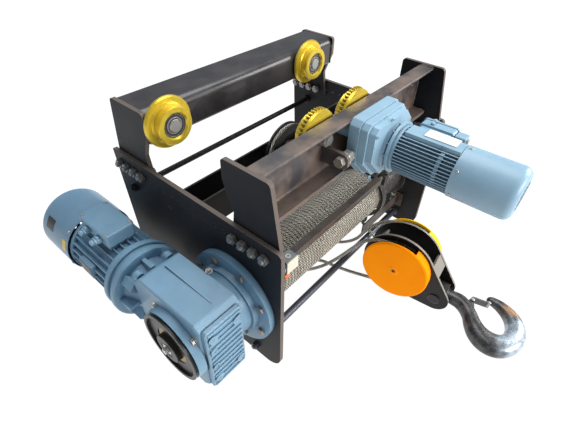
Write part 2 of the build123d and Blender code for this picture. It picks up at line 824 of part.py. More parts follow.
# Ribbed cover plate of the gear housing, with four plugs
cover_back = housing_near_y - fastener_seat
plug_places = [
    (housing_middle + sx * cover_width * 0.32, drum_axis_z + sz * cover_height * 0.36)
    for sx in (-1, 1)
    for sz in (-1, 1)
]
with BuildPart() as gear_cover:
    with BuildSketch(along(cover_back)):
        with Locations((housing_middle, drum_axis_z)):
            RectangleRounded(cover_width, cover_height, 10.0)
    extrude(amount=cover_depth)
    chamfer(gear_cover.faces().sort_by(Axis.Y)[0].edges(), 3.0)
    rib_count = 12
    with BuildSketch(along(cover_back - cover_depth)):
        for i in range(rib_count):
            z = drum_axis_z - cover_height / 2 + (i + 0.5) * cover_height / rib_count
            with Locations((housing_middle, z)):
                Rectangle(cover_width - 18.0, 8.0)
    extrude(amount=4.0)
    with BuildSketch(along(cover_back - cover_depth)):
        with Locations(plug_places):
            Circle(15.0)
    extrude(amount=6.0)
save(gear_cover, "gear_cover")


def round_body(x, z, profile):
    # turned piece about an axis along Y; the profile lists radius and Y
    with BuildPart() as body:
        with BuildSketch(Plane(origin=(x, 0, z), x_dir=(1, 0, 0), z_dir=(0, 0, 1))):
            with BuildLine():
                Polyline(*profile, close=True)
            make_face()
        revolve(axis=Axis((x, 0, z), (0, 1, 0)))
    return body


# Input bell between the gear housing and the motor, with deep pockets between its ribs
motor_x = housing_middle
motor_z = drum_axis_z
bell_start = housing_far_y + 40.0
with BuildPart() as input_bell:
    add(
        round_body(
            motor_x,
            motor_z,
            [
                (0, bell_start),
                (72.0, bell_start),
                (96.0, bell_face_y - 8.0),
                (bell_radius - 3.0, bell_face_y - 8.0),
                (bell_radius, bell_face_y - 5.0),
                (bell_radius, bell_face_y + 10.0),
                (bell_radius - 14.0, bell_face_y + 18.0),
                (bell_radius - 14.0, motor_face_y - 12.0),
                (0, motor_face_y - 12.0),
            ],
        ).part
    )
    rib_length = bell_face_y - bell_start - 8.0
    with BuildSketch(along(bell_face_y - 6.0)):
        with Locations((motor_x, motor_z)):
            for angle in (45.0, 135.0, 225.0, 315.0):
                with PolarLocations(88.0, 1, start_angle=angle):
                    Rectangle(56.0, 30.0)
            with PolarLocations(88.0, 4, start_angle=0.0):
                Rectangle(50.0, 14.0)
    extrude(amount=rib_length)
save(input_bell, "input_bell")


def finned_stator(x, z, body_radius, from_y, to_y, count, height, width, box_side):
    with BuildPart() as stator:
        with BuildSketch(along(from_y)):
            with Locations((x, z)):
                Circle(body_radius)
                for i in range(count):
                    angle = (i + 0.5) * 360.0 / count
                    with PolarLocations(body_radius + height / 2 - 1.0, 1, start_angle=angle):
                        Rectangle(height + 2.0, width)
        extrude(amount=from_y - to_y)
        for flange_y in (from_y, to_y + 12.0):
            with BuildSketch(along(flange_y)):
                with Locations((x, z)):
                    Circle(body_radius + height + 1.0)
            extrude(amount=12.0)
        base = body_radius + height + 1.0
        middle_y = (from_y + to_y) / 2
        if box_side == "top":
            with BuildSketch(level(z)):
                with Locations((x, middle_y + 6.0)):
                    RectangleRounded(92.0, 150.0, 8.0)
            extrude(amount=base + 4.0)
    return stator


# Hoist motor: flange, finned stator, terminal box with lid, fan and cowl
flange_disc = [(0, motor_face_y - 12.0 + fastener_seat), (bell_radius - 2.0, motor_face_y - 12.0 + fastener_seat)]
with BuildPart() as hoist_stator:
    add(
        finned_stator(
            motor_x, motor_z, motor_radius - fin_height, cowl_start_y - 2.0, motor_face_y + 10.0,
            fin_count, fin_height, fin_width, "top",
        ).part
    )
    add(
        round_body(
            motor_x,
            motor_z,
            [
                (0, motor_face_y - 12.0 + fastener_seat),
                (bell_radius - 6.0, motor_face_y - 12.0 + fastener_seat),
                (bell_radius - 3.0, motor_face_y - 9.0),
                (bell_radius - 3.0, motor_face_y + 4.0),
                (motor_radius - 10.0, motor_face_y + 16.0),
                (0, motor_face_y + 16.0),
            ],
        ).part
    )
save(hoist_stator, "hoist_motor_body")

box_base = motor_z + motor_radius + 5.0
box_top = motor_z + 160.0
box_length = 172.0
box_width = 108.0
box_y = (motor_face_y + cowl_start_y) / 2 + 8.0
with BuildPart() as hoist_terminal_box:
    with BuildSketch(level(box_base + fastener_seat)):
        with Locations((motor_x, box_y)):
            RectangleRounded(box_width - 8.0, box_length - 10.0, 10.0)
    extrude(amount=box_top - box_base - fastener_seat)
    for sy in (-1, 1):
        with BuildSketch(across(motor_x - box_width / 2 - 12.0)):
            with Locations((box_y + sy * 36.0, (box_base + box_top) / 2)):
                Circle(15.0)
        extrude(amount=20.0)
save(hoist_terminal_box, "hoist_terminal_box")
with BuildPart() as hoist_terminal_lid:
    with BuildSketch(level(box_top + fastener_seat)):
        with Locations((motor_x, box_y)):
            RectangleRounded(box_width, box_length, 12.0)
    extrude(amount=13.0)
    fillet(hoist_terminal_lid.faces().sort_by(Axis.Z)[-1].edges(), 4.0)
save(hoist_terminal_lid, "hoist_terminal_lid")


def fan_cowl(x, z, radius, open_y, end_y, wall, corner):
    # spun sheet cup over the fan, with an air grille of rings in its end
    sign = 1.0 if end_y > open_y else -1.0
    with BuildPart() as cowl:
        with BuildSketch(Plane(origin=(x, 0, z), x_dir=(1, 0, 0), z_dir=(0, 0, 1))):
            with BuildLine():
                FilletPolyline(
                    (radius - wall, open_y),
                    (radius, open_y),
                    (radius, end_y),
                    (0.01, end_y),
                    (0.01, end_y - sign * wall),
                    (radius - wall, end_y - sign * wall),
                    radius=[0.4, 0.4, corner, 0.001, 0.001, corner - wall],
                    close=True,
                )
            make_face()
        revolve(axis=Axis((x, 0, z), (0, 1, 0)))
        with BuildSketch(along(end_y + (1.0 if sign > 0 else wall + 1.0))):
            with Locations((x, z)):
                for ring in range(3):
                    count = 8 + 6 * ring
                    with PolarLocations(radius * (0.26 + 0.2 * ring), count):
                        SlotOverall(radius * 0.15, radius * 0.075)
        extrude(amount=wall + 2.0, mode=Mode.SUBTRACT)
    return cowl


hoist_cowl = fan_cowl(motor_x, motor_z, cowl_radius, cowl_start_y, cowl_end_y, cowl_wall, 34.0)
save(hoist_cowl, "hoist_fan_cowl")


def fan(x, z, radius, hub_y, shaft_to, width):
    # shaft stub, hub and straight blades
    sign = 1.0 if hub_y > shaft_to else -1.0
    low = min(hub_y, hub_y - sign * width)
    with BuildPart() as rotor:
        with BuildSketch(along(max(hub_y, shaft_to))):
            with Locations((x, z)):
                Circle(12.0)
        extrude(amount=abs(hub_y - shaft_to))
        with BuildSketch(along(low + width)):
            with Locations((x, z)):
                Circle(radius * 0.3)
                with PolarLocations(radius * 0.62, 7):
                    Rectangle(radius * 0.72, 4.0)
        extrude(amount=width)
    return rotor


save(fan(motor_x, motor_z, cowl_radius - 16.0, cowl_start_y + 90.0, cowl_start_y + 0.5, 46.0), "hoist_fan")

# Trolley gear unit: three stacked octagonal castings
output_x = trolley_middle_x
octagon = 118.0
cut = 46.0
case_low = travel_axis_z - octagon * 0.86
case_high = travel_axis_z + octagon
case_right = travel_axis_x + octagon
case_left = output_x - 38.0
case_planes = [travel_box_back, travel_box_back - 36.0, travel_box_back - 62.0, travel_box_back - 84.0]


def case_outline(inset):
    # corners clockwise from the lower left, pulled in by the inset
    left = case_left + inset
    right = case_right - inset
    low = case_low + inset
    high = case_high - inset
    return [
        (left, low + 78.0),
        (left + 74.0, low),
        (right - cut, low),
        (right, low + cut),
        (right, high - cut),
        (right - cut, high),
        (left + 18.0, high),
        (left, high - 18.0),
    ]


with BuildPart() as travel_case:
    with BuildSketch(along(case_planes[0])):
        with BuildLine():
            FilletPolyline(*case_outline(0.0), radius=8.0, close=True)
        make_face()
    extrude(amount=case_planes[0] - case_planes[1])
    with BuildSketch(along(web_front - 1.0)):
        with Locations((output_x, wheel_height)):
            Circle(pinion_hub_radius - 2.0)
    extrude(amount=web_front - 1.0 - case_planes[0])
    with BuildSketch(along(web_front)):
        with Locations((output_x, wheel_height)):
            Circle(pinion_shaft_radius + running_gap)
    extrude(amount=web_front - case_planes[0] + 30.0, mode=Mode.SUBTRACT)
save(travel_case, "travel_gear_case")

with BuildPart() as travel_cover:
    with BuildSketch(along(case_planes[1] - fastener_seat)):
        with BuildLine():
            FilletPolyline(*case_outline(5.0), radius=8.0, close=True)
        make_face()
    extrude(amount=case_planes[1] - case_planes[2] - fastener_seat)
    with BuildSketch(along(case_planes[2])):
        with BuildLine():
            FilletPolyline(*case_outline(13.0), radius=8.0, close=True)
        make_face()
    extrude(amount=case_planes[2] - case_planes[3], taper=8.0)
    bell_back = case_planes[3] + 1.0
    add(
        round_body(
            travel_axis_x,
            travel_axis_z,
            [
                (0, bell_back),
                (84.0, bell_back),
                (78.0, bell_back - 12.0),
                (60.0, bell_back - 12.0),
                (60.0, travel_flange_y + 10.0),
                (86.0, travel_flange_y + 8.0),
                (86.0, travel_flange_y),
                (0, travel_flange_y),
            ],
        ).part
    )
    with BuildSketch(along(bell_back - 8.0)):
        with Locations((travel_axis_x, travel_axis_z)):
            with PolarLocations(66.0, 12):
                Rectangle(30.0, 5.0)
    extrude(amount=bell_back - 8.0 - travel_flange_y - 4.0)
save(travel_cover, "travel_gear_cover")

with BuildPart() as travel_motor:
    add(
        finned_stator(
            travel_axis_x, travel_axis_z, travel_body_radius - 9.0, travel_flange_y - fastener_seat,
            travel_cowl_start + 2.0, travel_fin_count, 9.0, 3.0, "none",
        ).part
    )
    plate_top = travel_axis_z + travel_body_radius + 6.0
    plate_y = (travel_flange_y + travel_cowl_start) / 2
    with BuildSketch(level(travel_axis_z)):
        with Locations((travel_axis_x - 8.0, plate_y)):
            Rectangle(58.0, 118.0)
    extrude(amount=plate_top - travel_axis_z)
    with BuildSketch(across(travel_axis_x)):
        with Locations((plate_y + 6.0, travel_axis_z + 18.0)):
            RectangleRounded(104.0, 76.0, 6.0)
    extrude(amount=travel_body_radius + 8.0)
save(travel_motor, "travel_motor_body")

box_start = travel_axis_x + travel_body_radius + 8.0 + fastener_seat
with BuildPart() as travel_box:
    with BuildSketch(across(box_start)):
        with Locations((plate_y + 6.0, travel_axis_z + 18.0)):
            RectangleRounded(116.0, 90.0, 10.0)
    extrude(amount=36.0)
    with BuildSketch(across(box_start + 36.0)):
        with Locations((plate_y + 6.0, travel_axis_z + 18.0)):
            RectangleRounded(120.0, 94.0, 10.0)
    extrude(amount=10.0)
    fillet(travel_box.faces().sort_by(Axis.X)[-1].edges(), 3.0)
save(travel_box, "travel_terminal_box")

travel_cowl = fan_cowl(
    travel_axis_x, travel_axis_z, travel_cowl_radius, travel_cowl_start, travel_cowl_end, 2.0, 26.0
)
save(travel_cowl, "travel_fan_cowl")
save(
    fan(travel_axis_x, travel_axis_z, travel_cowl_radius - 12.0, travel_cowl_start - 70.0, travel_cowl_start - 0.5, 36.0),
    "travel_fan",
)

# Torque stay: a bolt from the lug on the beam web into the side of the gear case
with BuildPart() as torque_bolt:
    with BuildSketch(across(lug_x - 18.0)):
        with Locations((stay_y, stay_z)):
            RegularPolygon(hex_radius(bolt_across_flats), 6)
    extrude(amount=18.0 - fastener_seat)
    with BuildSketch(across(lug_x - 18.0)):
        with Locations((stay_y, stay_z)):
            Circle(bolt_radius)
    extrude(amount=case_left - lug_x + 18.0 - fastener_seat)
    with BuildSketch(across(lug_x + lug_thickness + fastener_seat)):
        with Locations((stay_y, stay_z)):
            Circle(24.0)
    extrude(amount=5.0)
    with BuildSketch(across(lug_x + lug_thickness + 5.0 + fastener_seat)):
        with Locations((stay_y, stay_z)):
            RegularPolygon(hex_radius(36.0), 6)
    extrude(amount=26.0)
save(torque_bolt, "torque_bolt")

# Hook block, lying on the edges of its cheeks. Its own plane looks along the sheave pin:
# sketch x points from the sheaves to the hook along the floor, sketch y is up.
sheave_z = cheek_radius
crosshead_z = cheek_end_radius
turn = radians(block_turn)
pin_direction = Vector(cos(turn), sin(turn), 0)
reach_direction = Vector(sin(turn), -cos(turn), 0)
level_reach = sqrt(block_reach**2 - (sheave_z - crosshead_z) ** 2)


def block_plane(w, u=0.0, z=0.0):
    origin = Vector(block_near_x, block_near_y, z) + pin_direction * w + reach_direction * u
    return Plane(origin=origin, x_dir=-reach_direction, z_dir=pin_direction)


near_cheek_w = cover_width_block
far_cheek_w = near_cheek_w + cheek_thickness + cheek_gap
edge_lean = asin((cheek_radius - cheek_end_radius) / block_reach)
block_pin_radius = 24.0
cross_pin_radius = 22.0
edge_tops = [
    (cheek_radius * sin(2 * edge_lean), sheave_z + cheek_radius * cos(2 * edge_lean)),
    (level_reach + cheek_end_radius * sin(2 * edge_lean), crosshead_z + cheek_end_radius * cos(2 * edge_lean)),
]

# Cheeks: two circles and their tangents, the lower one lying along the floor, and two welded spacers
spacer_share = 0.3
spacer_u = edge_tops[0][0] + spacer_share * (edge_tops[1][0] - edge_tops[0][0]) - 7.0 * sin(2 * edge_lean)
spacer_z = edge_tops[0][1] + spacer_share * (edge_tops[1][1] - edge_tops[0][1]) - 7.0 * cos(2 * edge_lean)
back_spacer = radians(32.0)
spacer_ring = cheek_radius - 31.0
with BuildPart() as block_frame:
    for w in (near_cheek_w, far_cheek_w):
        with BuildSketch(block_plane(w)):
            with Locations((0, sheave_z)):
                Circle(cheek_radius)
            with Locations((-level_reach, crosshead_z)):
                Circle(cheek_end_radius)
            with BuildLine():
                Polyline((0, 0), (-level_reach, 0), *[(-u, z) for u, z in reversed(edge_tops)], close=True)
            make_face()
            with Locations((0, sheave_z)):
                Circle(block_pin_radius + 0.1, mode=Mode.SUBTRACT)
            with Locations((-level_reach, crosshead_z)):
                Circle(cross_pin_radius + running_gap, mode=Mode.SUBTRACT)
        extrude(amount=cheek_thickness)
    with BuildSketch(block_plane(near_cheek_w + cheek_thickness)):
        with Locations((-spacer_u, spacer_z)):
            Rectangle(54.0, 10.0, rotation=degrees(2 * edge_lean))
        with Locations((spacer_ring * cos(back_spacer), sheave_z + spacer_ring * sin(back_spacer))):
            Rectangle(40.0, 10.0, rotation=degrees(back_spacer) + 90.0)
    extrude(amount=cheek_gap)
save(block_frame, "block_frame")

# Round covers over the sheaves, dished, with the rim cut away where the rope enters and leaves
slot_from = radians(62.0)
slot_to = radians(246.0)
slot_lip = 9.0


def block_cover(face_w, rim_w):
    # the flat face is at face_w, the open rim stands against the cheek at rim_w
    low_w = min(face_w, rim_w)
    depth = abs(face_w - rim_w)
    opens_far = face_w < rim_w
    wide = cover_radius * 1.6
    with BuildPart() as cover:
        with BuildSketch(block_plane(low_w)):
            with Locations((0, sheave_z)):
                Circle(cover_radius)
        extrude(amount=depth)
        ends = cover.faces().filter_by(GeomType.PLANE).sort_by(Axis((0, 0, 0), pin_direction))
        fillet((ends[0] if opens_far else ends[-1]).edges(), 8.0)
        with BuildSketch(block_plane(low_w + (cover_wall if opens_far else 0.0))):
            with Locations((0, sheave_z)):
                Circle(cover_radius - cover_wall)
        extrude(amount=depth - cover_wall, mode=Mode.SUBTRACT)
        with BuildSketch(block_plane(low_w + (slot_lip if opens_far else 0.0))):
            with BuildLine():
                Polyline(
                    (0, sheave_z),
                    (-wide * cos(slot_from), sheave_z + wide * sin(slot_from)),
                    (wide, sheave_z + wide),
                    (wide, sheave_z - wide),
                    (-wide * cos(slot_to), sheave_z + wide * sin(slot_to)),
                    close=True,
                )
            make_face()
            with Locations((0, sheave_z)):
                Circle(cover_radius - 2 * cover_wall, mode=Mode.SUBTRACT)
        extrude(amount=depth - slot_lip, mode=Mode.SUBTRACT)
        with BuildSketch(block_plane(low_w - 1.0)):
            with Locations((0, sheave_z)):
                Circle(7.0)
        extrude(amount=depth + 2.0, mode=Mode.SUBTRACT)
    return cover


block_width = cheek_gap + 2 * (cheek_thickness + cover_width_block)
save(block_cover(0.0, near_cheek_w), "block_cover_near")
save(block_cover(block_width, block_width - cover_width_block), "block_cover_far")

# Sheave pin through both cheeks
pin_from = cover_wall + 3.0
with BuildPart() as block_pin:
    with BuildSketch(block_plane(pin_from)):
        with Locations((0, sheave_z)):
            Circle(block_pin_radius)
    extrude(amount=block_width - 2 * pin_from)
    with BuildSketch(block_plane(near_cheek_w + cheek_thickness + fastener_seat)):
        with Locations((0, sheave_z)):
            Circle(block_pin_radius + 10.0)
    extrude(amount=cheek_gap - 2 * fastener_seat)
save(block_pin, "block_pin")

near_sheave_w = near_cheek_w - side_gap - 1.0 - sheave_width / 2
far_sheave_w = block_width - near_sheave_w


def block_place(w, back, z):
    # a point beside the block: across it, back from the sheave pin towards the drum, and up
    place = Vector(block_near_x, block_near_y, z) + pin_direction * w - reach_direction * back
    return (place.X, place.Y, place.Z)


for name, w in (("block_sheave_near", near_sheave_w), ("block_sheave_far", far_sheave_w)):
    sheave_plane = Plane(origin=block_place(w, 0, sheave_z), x_dir=pin_direction, z_dir=reach_direction)
    save(sheave(sheave_plane, sheave_radius, sheave_groove, sheave_width, block_pin_radius + running_gap), name)

# Crosshead between the cheeks, with its two trunnions
cross_half = 36.0
cross_depth = 34.0
hook_shank_radius = 22.0
hook_low_mid = 37.0
hook_slope = asin((crosshead_z - hook_low_mid) / (hook_reach + 128.0))
hook_direction = reach_direction * cos(hook_slope) + Vector(0, 0, -sin(hook_slope))
tip_side = pin_direction
hook_up = hook_direction.cross(tip_side)
cross_centre = Vector(*block_place(block_width / 2, -level_reach, crosshead_z))


def shank_plane(reach):
    # square to the hook's shank, at a distance along it from the crosshead's middle
    return Plane(origin=cross_centre + hook_direction * reach, x_dir=tip_side, z_dir=hook_direction)


with BuildPart() as crosshead:
    with BuildSketch(shank_plane(-cross_depth)):
        RectangleRounded(cheek_gap - 4.0, 2 * cross_half, 14.0)
    extrude(amount=2 * cross_depth)
    with BuildSketch(block_plane(near_cheek_w - 4.0)):
        with Locations((-level_reach, crosshead_z)):
            Circle(cross_pin_radius)
    extrude(amount=block_width - 2 * near_cheek_w + 8.0)
    with BuildSketch(shank_plane(-60.0)):
        Circle(hook_shank_radius + running_gap)
    extrude(amount=120.0, mode=Mode.SUBTRACT)
save(crosshead, "crosshead")

# Forged hook: a loft of rounded sections down the neck and round the mouth, on a turned shank with its nut.
# Each neck section has its reach, its offset towards the tip's side, its half width and half thickness.
# Each mouth section has its angle from the hook's back, its inner radius, its thickness and its depth.
neck_sections = [(40.0, 0.0, 24.0, 24.0), (82.0, -2.0, 28.0, 26.0), (112.0, -10.0, 43.0, 32.0)]
mouth_sections = [
    (-52.0, 41.0, 82.0, 68.0),
    (-20.0, 41.0, 88.0, 70.0),
    (15.0, 41.0, 92.0, 72.0),
    (50.0, 41.0, 90.0, 73.0),
    (90.0, 41.0, 86.0, 72.0),
    (128.0, 41.0, 78.0, 67.0),
    (158.0, 43.0, 66.0, 58.0),
    (180.0, 50.0, 54.0, 46.0),
    (194.0, 66.0, 38.0, 34.0),
    (202.0, 80.0, 20.0, 20.0),
]
mouth_centre = cross_centre + hook_direction * hook_reach - tip_side * hook_offset
boss_reach = 130.0
boss_offset = 30.0
boss_radius_hook = 9.0
latch_pin_radius = 4.0
hook_plane = Plane(origin=cross_centre, x_dir=tip_side, z_dir=hook_up)
with BuildPart() as hook:
    with BuildSketch(shank_plane(-66.0)):
        Circle(hook_shank_radius)
    extrude(amount=66.0 + cross_depth + 1.0)
    with BuildSketch(shank_plane(-60.0)):
        RegularPolygon(hex_radius(50.0), 6)
    extrude(amount=24.0)
    with BuildSketch(shank_plane(cross_depth + fastener_seat)):
        Circle(31.0)
    extrude(amount=7.0)
    for reach, offset, half_width, half_depth in neck_sections:
        with BuildSketch(shank_plane(reach)):
            with Locations((offset, 0)):
                Ellipse(half_width, half_depth)
    for angle, inner, thick, deep in mouth_sections:
        a = radians(angle)
        outward = hook_direction * sin(a) - tip_side * cos(a)
        tangent = tip_side * sin(a) + hook_direction * cos(a)
        section_middle = mouth_centre + outward * (inner + thick / 2)
        with BuildSketch(Plane(origin=section_middle, x_dir=-outward, z_dir=tangent)):
            Ellipse(thick / 2, deep / 2)
    loft()
    with BuildSketch(hook_plane.offset(-12.0)):
        with Locations((boss_offset, -boss_reach)):
            Circle(boss_radius_hook)
        with BuildLine():
            Polyline(
                (boss_offset - 22.0, -boss_reach + 22.0),
                (boss_offset, -boss_reach + boss_radius_hook),
                (boss_offset, -boss_reach - boss_radius_hook),
                (boss_offset - 34.0, -boss_reach - 16.0),
                close=True,
            )
        make_face()
    extrude(amount=24.0)
    with BuildSketch(hook_plane.offset(-14.0)):
        with Locations((boss_offset, -boss_reach)):
            Circle(latch_pin_radius + running_gap)
    extrude(amount=28.0, mode=Mode.SUBTRACT)
save(hook, "hook")

# Sprung latch: two ears on a pin through the boss, and a strip that closes the throat
with BuildPart() as hook_latch:
    with BuildSketch(hook_plane.offset(-17.0)):
        with Locations((boss_offset, -boss_reach)):
            Circle(latch_pin_radius)
    extrude(amount=34.0)
    for ear in (-16.5, 12.5):
        with BuildSketch(hook_plane.offset(ear)):
            with Locations((boss_offset, -boss_reach)):
                Circle(9.0)
            with BuildLine():
                Polyline(
                    (boss_offset, -boss_reach + 9.0),
                    (boss_offset + 14.0, -boss_reach + 4.0),
                    (boss_offset + 18.0, -boss_reach - 16.0),
                    (boss_offset, -boss_reach - 9.0),
                    close=True,
                )
            make_face()
        extrude(amount=4.0)
    with BuildSketch(hook_plane.offset(-16.5)):
        with BuildLine():
            Polyline(
                (boss_offset + 10.0, -boss_reach + 4.0),
                (boss_offset + 14.0, -boss_reach + 4.0),
                (boss_offset + 26.0, -boss_reach - 60.0),
                (boss_offset + 22.0, -boss_reach - 61.0),
                close=True,
            )
        make_face()
    extrude(amount=33.0)
save(hook_latch, "hook_latch")

# Rope anchor under the cross channel: a tapered wedge socket
anchor_height = 64.0
anchor_low = channel_low - fastener_seat - anchor_height
with BuildPart() as rope_anchor:
    with BuildSketch(level(channel_low - fastener_seat)):
        with Locations((anchor_x, return_y)):
            RectangleRounded(54.0, 38.0, 6.0)
    extrude(amount=-anchor_height, taper=7.0)
save(rope_anchor, "rope_anchor")

# Rope turns round the two block sheaves and the return sheave
wrap_radius = sheave_groove + rope_diameter / 2 + rope_gap
return_wrap = return_radius - 18.0 + rope_diameter / 2 + rope_gap
with BuildPart() as rope_turns:
    for w in (near_sheave_w, far_sheave_w):
        with BuildSketch(Plane(origin=block_place(w, 0, sheave_z - wrap_radius), z_dir=reach_direction)):
            Circle(rope_diameter / 2)
        revolve(axis=Axis(block_place(w, 0, sheave_z), -pin_direction), revolution_arc=180)
    with BuildSketch(level(return_z)):
        with Locations((return_x + return_wrap, return_y)):
            Circle(rope_diameter / 2)
    revolve(axis=Axis((return_x, return_y, return_z), (0, -1, 0)), revolution_arc=180)
save(rope_turns, "rope_turns")


def rope_tube(points):
    # straight runs joined by the largest arcs that they allow
    places = [Vector(*p) for p in points]
    radii = []
    for a, b, c in zip(places, places[1:], places[2:]):
        half_turn = radians((b - a).get_angle(c - b)) / 2
        radii.append(0.45 * min((b - a).length, (c - b).length) / tan(half_turn))
    with BuildPart() as tube:
        with BuildLine() as route:
            FilletPolyline(*places, radius=radii)
        with BuildSketch(Plane(origin=route.line @ 0, z_dir=route.line % 0)):
            Circle(rope_diameter / 2)
        sweep(path=route.line)
    length = sum(edge.length for edge in route.edges())
    print("rope", round(length), "mm, radii", [round(r) for r in radii], "solid", round(tube.part.volume / length, 2))
    return tube


sheave_low = sheave_z - wrap_radius
sheave_high = sheave_z + wrap_radius
right_fall_x = return_x + return_wrap
left_fall_x = return_x - return_wrap
rod_y, rod_z = rod_places[0]
over_rod = rod_z + rod_radius + rope_diameter / 2 + 12.0
on_floor = rope_diameter / 2 + 1.0
save(
    rope_tube(
        [
            (guide_x, outlet_y - 14.0, outlet_z - 30.0),
            (guide_x - 1.0, rod_y, over_rod),
            (guide_x - 6.0, rod_y - 45.0, over_rod - 18.0),
            block_place(far_sheave_w, 95.0, sheave_low),
            block_place(far_sheave_w, 0, sheave_low),
        ]
    ),
    "rope_from_drum",
)
save(
    rope_tube(
        [
            block_place(far_sheave_w, 0, sheave_high),
            block_place(far_sheave_w, 75.0, sheave_high),
            (176.0, rod_y - 67.0, 215.0),
            (168.0, rod_y - 17.0, 140.0),
            (155.0, rod_y + 14.0, 72.0),
            (138.0, rod_y + 84.0, 18.0),
            (118.0, rod_y + 158.0, on_floor + 1.0),
            (80.0, return_y - 32.0, 36.0),
            (right_fall_x + 3.0, return_y, 120.0),
            (right_fall_x, return_y, 330.0),
            (right_fall_x, return_y, return_z),
        ]
    ),
    "rope_to_return_sheave",
)
save(
    rope_tube(
        [
            (left_fall_x, return_y, return_z),
            (left_fall_x, return_y, 330.0),
            (left_fall_x + 3.0, return_y - 5.0, 130.0),
            (left_fall_x + 18.0, return_y - 38.0, 45.0),
            (left_fall_x + 68.0, return_y - 98.0, on_floor + 1.0),
            (0.0, rod_y + 98.0, on_floor),
            (10.0, rod_y + 32.0, on_floor),
            (34.5, rod_y - 62.0, on_floor + 1.0),
            block_place(near_sheave_w, 60.0, sheave_low),
            block_place(near_sheave_w, 0, sheave_low),
        ]
    ),
    "rope_from_return_sheave",
)
save(
    rope_tube(
        [
            block_place(near_sheave_w, 0, sheave_high),
            block_place(near_sheave_w, 75.0, sheave_high),
            (44.0, rod_y - 80.0, 215.0),
            (30.0, rod_y - 32.0, 140.0),
            (5.0, rod_y + 9.0, 74.0),
            (-45.0, rod_y + 58.0, 22.0),
            (-110.0, rod_y + 118.0, on_floor),
            (anchor_x + 70.0, return_y - 78.0, 14.0),
            (anchor_x + 14.0, return_y - 22.0, 52.0),
            (anchor_x, return_y, 132.0),
            (anchor_x - 3.0, return_y + 1.0, 262.0),
            (anchor_x, return_y, anchor_low - rope_gap),
        ]
    ),
    "rope_to_anchor",
)

print("wound rope ends at x", wound_right, "crosshead", cross_centre, "hook", hook_direction)
print("hook box", hook.part.bounding_box())
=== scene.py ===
# %% [markdown]
# # A trolley wire rope hoist, lying ready for delivery
#
# The model comes in as a fixed frame of named steel parts. This script gives every part its surface,
# winds a real stranded rope on the drum, adds the small hardware, and lights the whole as a product shot.
# Everything is in metres, in the frame of the parts: X along the drum, Y across the trolley, Z up.

import math
import random

import bmesh
import bpy
from mathutils import Matrix, Vector


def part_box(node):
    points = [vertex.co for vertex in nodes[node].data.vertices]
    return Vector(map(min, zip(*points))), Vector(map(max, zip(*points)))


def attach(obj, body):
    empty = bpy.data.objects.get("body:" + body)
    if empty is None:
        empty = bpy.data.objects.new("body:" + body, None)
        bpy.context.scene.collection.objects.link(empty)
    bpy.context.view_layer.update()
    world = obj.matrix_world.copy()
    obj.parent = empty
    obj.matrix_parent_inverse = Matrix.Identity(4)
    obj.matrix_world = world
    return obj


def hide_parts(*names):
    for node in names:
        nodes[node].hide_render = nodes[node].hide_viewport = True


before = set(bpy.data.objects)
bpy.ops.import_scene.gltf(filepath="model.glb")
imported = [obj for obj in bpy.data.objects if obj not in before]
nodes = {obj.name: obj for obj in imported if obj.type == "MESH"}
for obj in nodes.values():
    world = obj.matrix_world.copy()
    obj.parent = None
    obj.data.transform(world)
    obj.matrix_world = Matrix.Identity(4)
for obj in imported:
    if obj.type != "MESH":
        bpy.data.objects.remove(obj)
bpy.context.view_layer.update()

# %% [markdown]
# ## The camera
#
# The photograph was matched with a pinhole camera: two turns and a small roll give its three directions.

# %%
scene = bpy.context.scene
PHOTO_WIDTH, PHOTO_HEIGHT = 577, 433
FOCAL_PIXELS = 401.22
SENSOR = 36.0
yaw, pitch, roll = math.radians(50.54), math.radians(-41.34), math.radians(1.60)
forward = Vector((math.sin(yaw) * math.cos(pitch), math.cos(yaw) * math.cos(pitch), math.sin(pitch)))
level_right = forward.cross(Vector((0, 0, 1))).normalized()
level_up = level_right.cross(forward)
right = level_right * math.cos(roll) + level_up * math.sin(roll)
up = level_up * math.cos(roll) - level_right * math.sin(roll)
camera_data = bpy.data.cameras.new("camera")
camera_data.sensor_width = SENSOR
camera_data.sensor_fit = "HORIZONTAL"
camera_data.lens = SENSOR * FOCAL_PIXELS / PHOTO_WIDTH
camera_data.clip_start = 0.05
camera_data.clip_end = 50.0
camera = bpy.data.objects.new("camera", camera_data)
scene.collection.objects.link(camera)
turn = Matrix((right, up, -forward)).transposed().to_4x4()
camera.matrix_world = Matrix.Translation((-1.0461, -0.8236, 1.3463)) @ turn
scene.camera = camera
scene.render.resolution_x = PHOTO_WIDTH
scene.render.resolution_y = PHOTO_HEIGHT
scene.view_settings.view_transform = "Standard"
print("camera", [round(a, 3) for a in camera.location], "lens", round(camera_data.lens, 2))

# %% [markdown]
# ## Small helpers for meshes
#
# `link` puts a new mesh in the scene, with smooth faces and crisp edges. `ring_of` and `solid_rows` make
# round and outlined bodies row by row. `tube` sweeps a ring along points and unwraps it: U runs once
# round the rope and V counts its lay lengths, so that a material can draw the strands.

# %%
LAY = 0.085
TURN = 2 * math.pi


def link(name, mesh, material=None, angle=35.0):
    piece = bpy.data.objects.new(name, mesh)
    scene.collection.objects.link(piece)
    mesh.shade_smooth()
    mesh.set_sharp_from_angle(angle=math.radians(angle))
    if material:
        mesh.materials.append(material)
    return piece


def from_bmesh(name, bm, material=None, angle=35.0):
    bmesh.ops.recalc_face_normals(bm, faces=bm.faces)
    mesh = bpy.data.meshes.new(name)
    bm.to_mesh(mesh)
    bm.free()
    return link(name, mesh, material, angle)


def ring_of(bm, centre, first, second, radius, steps):
    # one row of points round a centre, in the plane of two directions
    angles = [TURN * k / steps for k in range(steps)]
    return [bm.verts.new(centre + (first * math.cos(a) + second * math.sin(a)) * radius) for a in angles]


def join_rows(bm, rows):
    for one, two in zip(rows, rows[1:]):
        for k in range(len(one)):
            after = (k + 1) % len(one)
            bm.faces.new((one[k], one[after], two[after], two[k]))


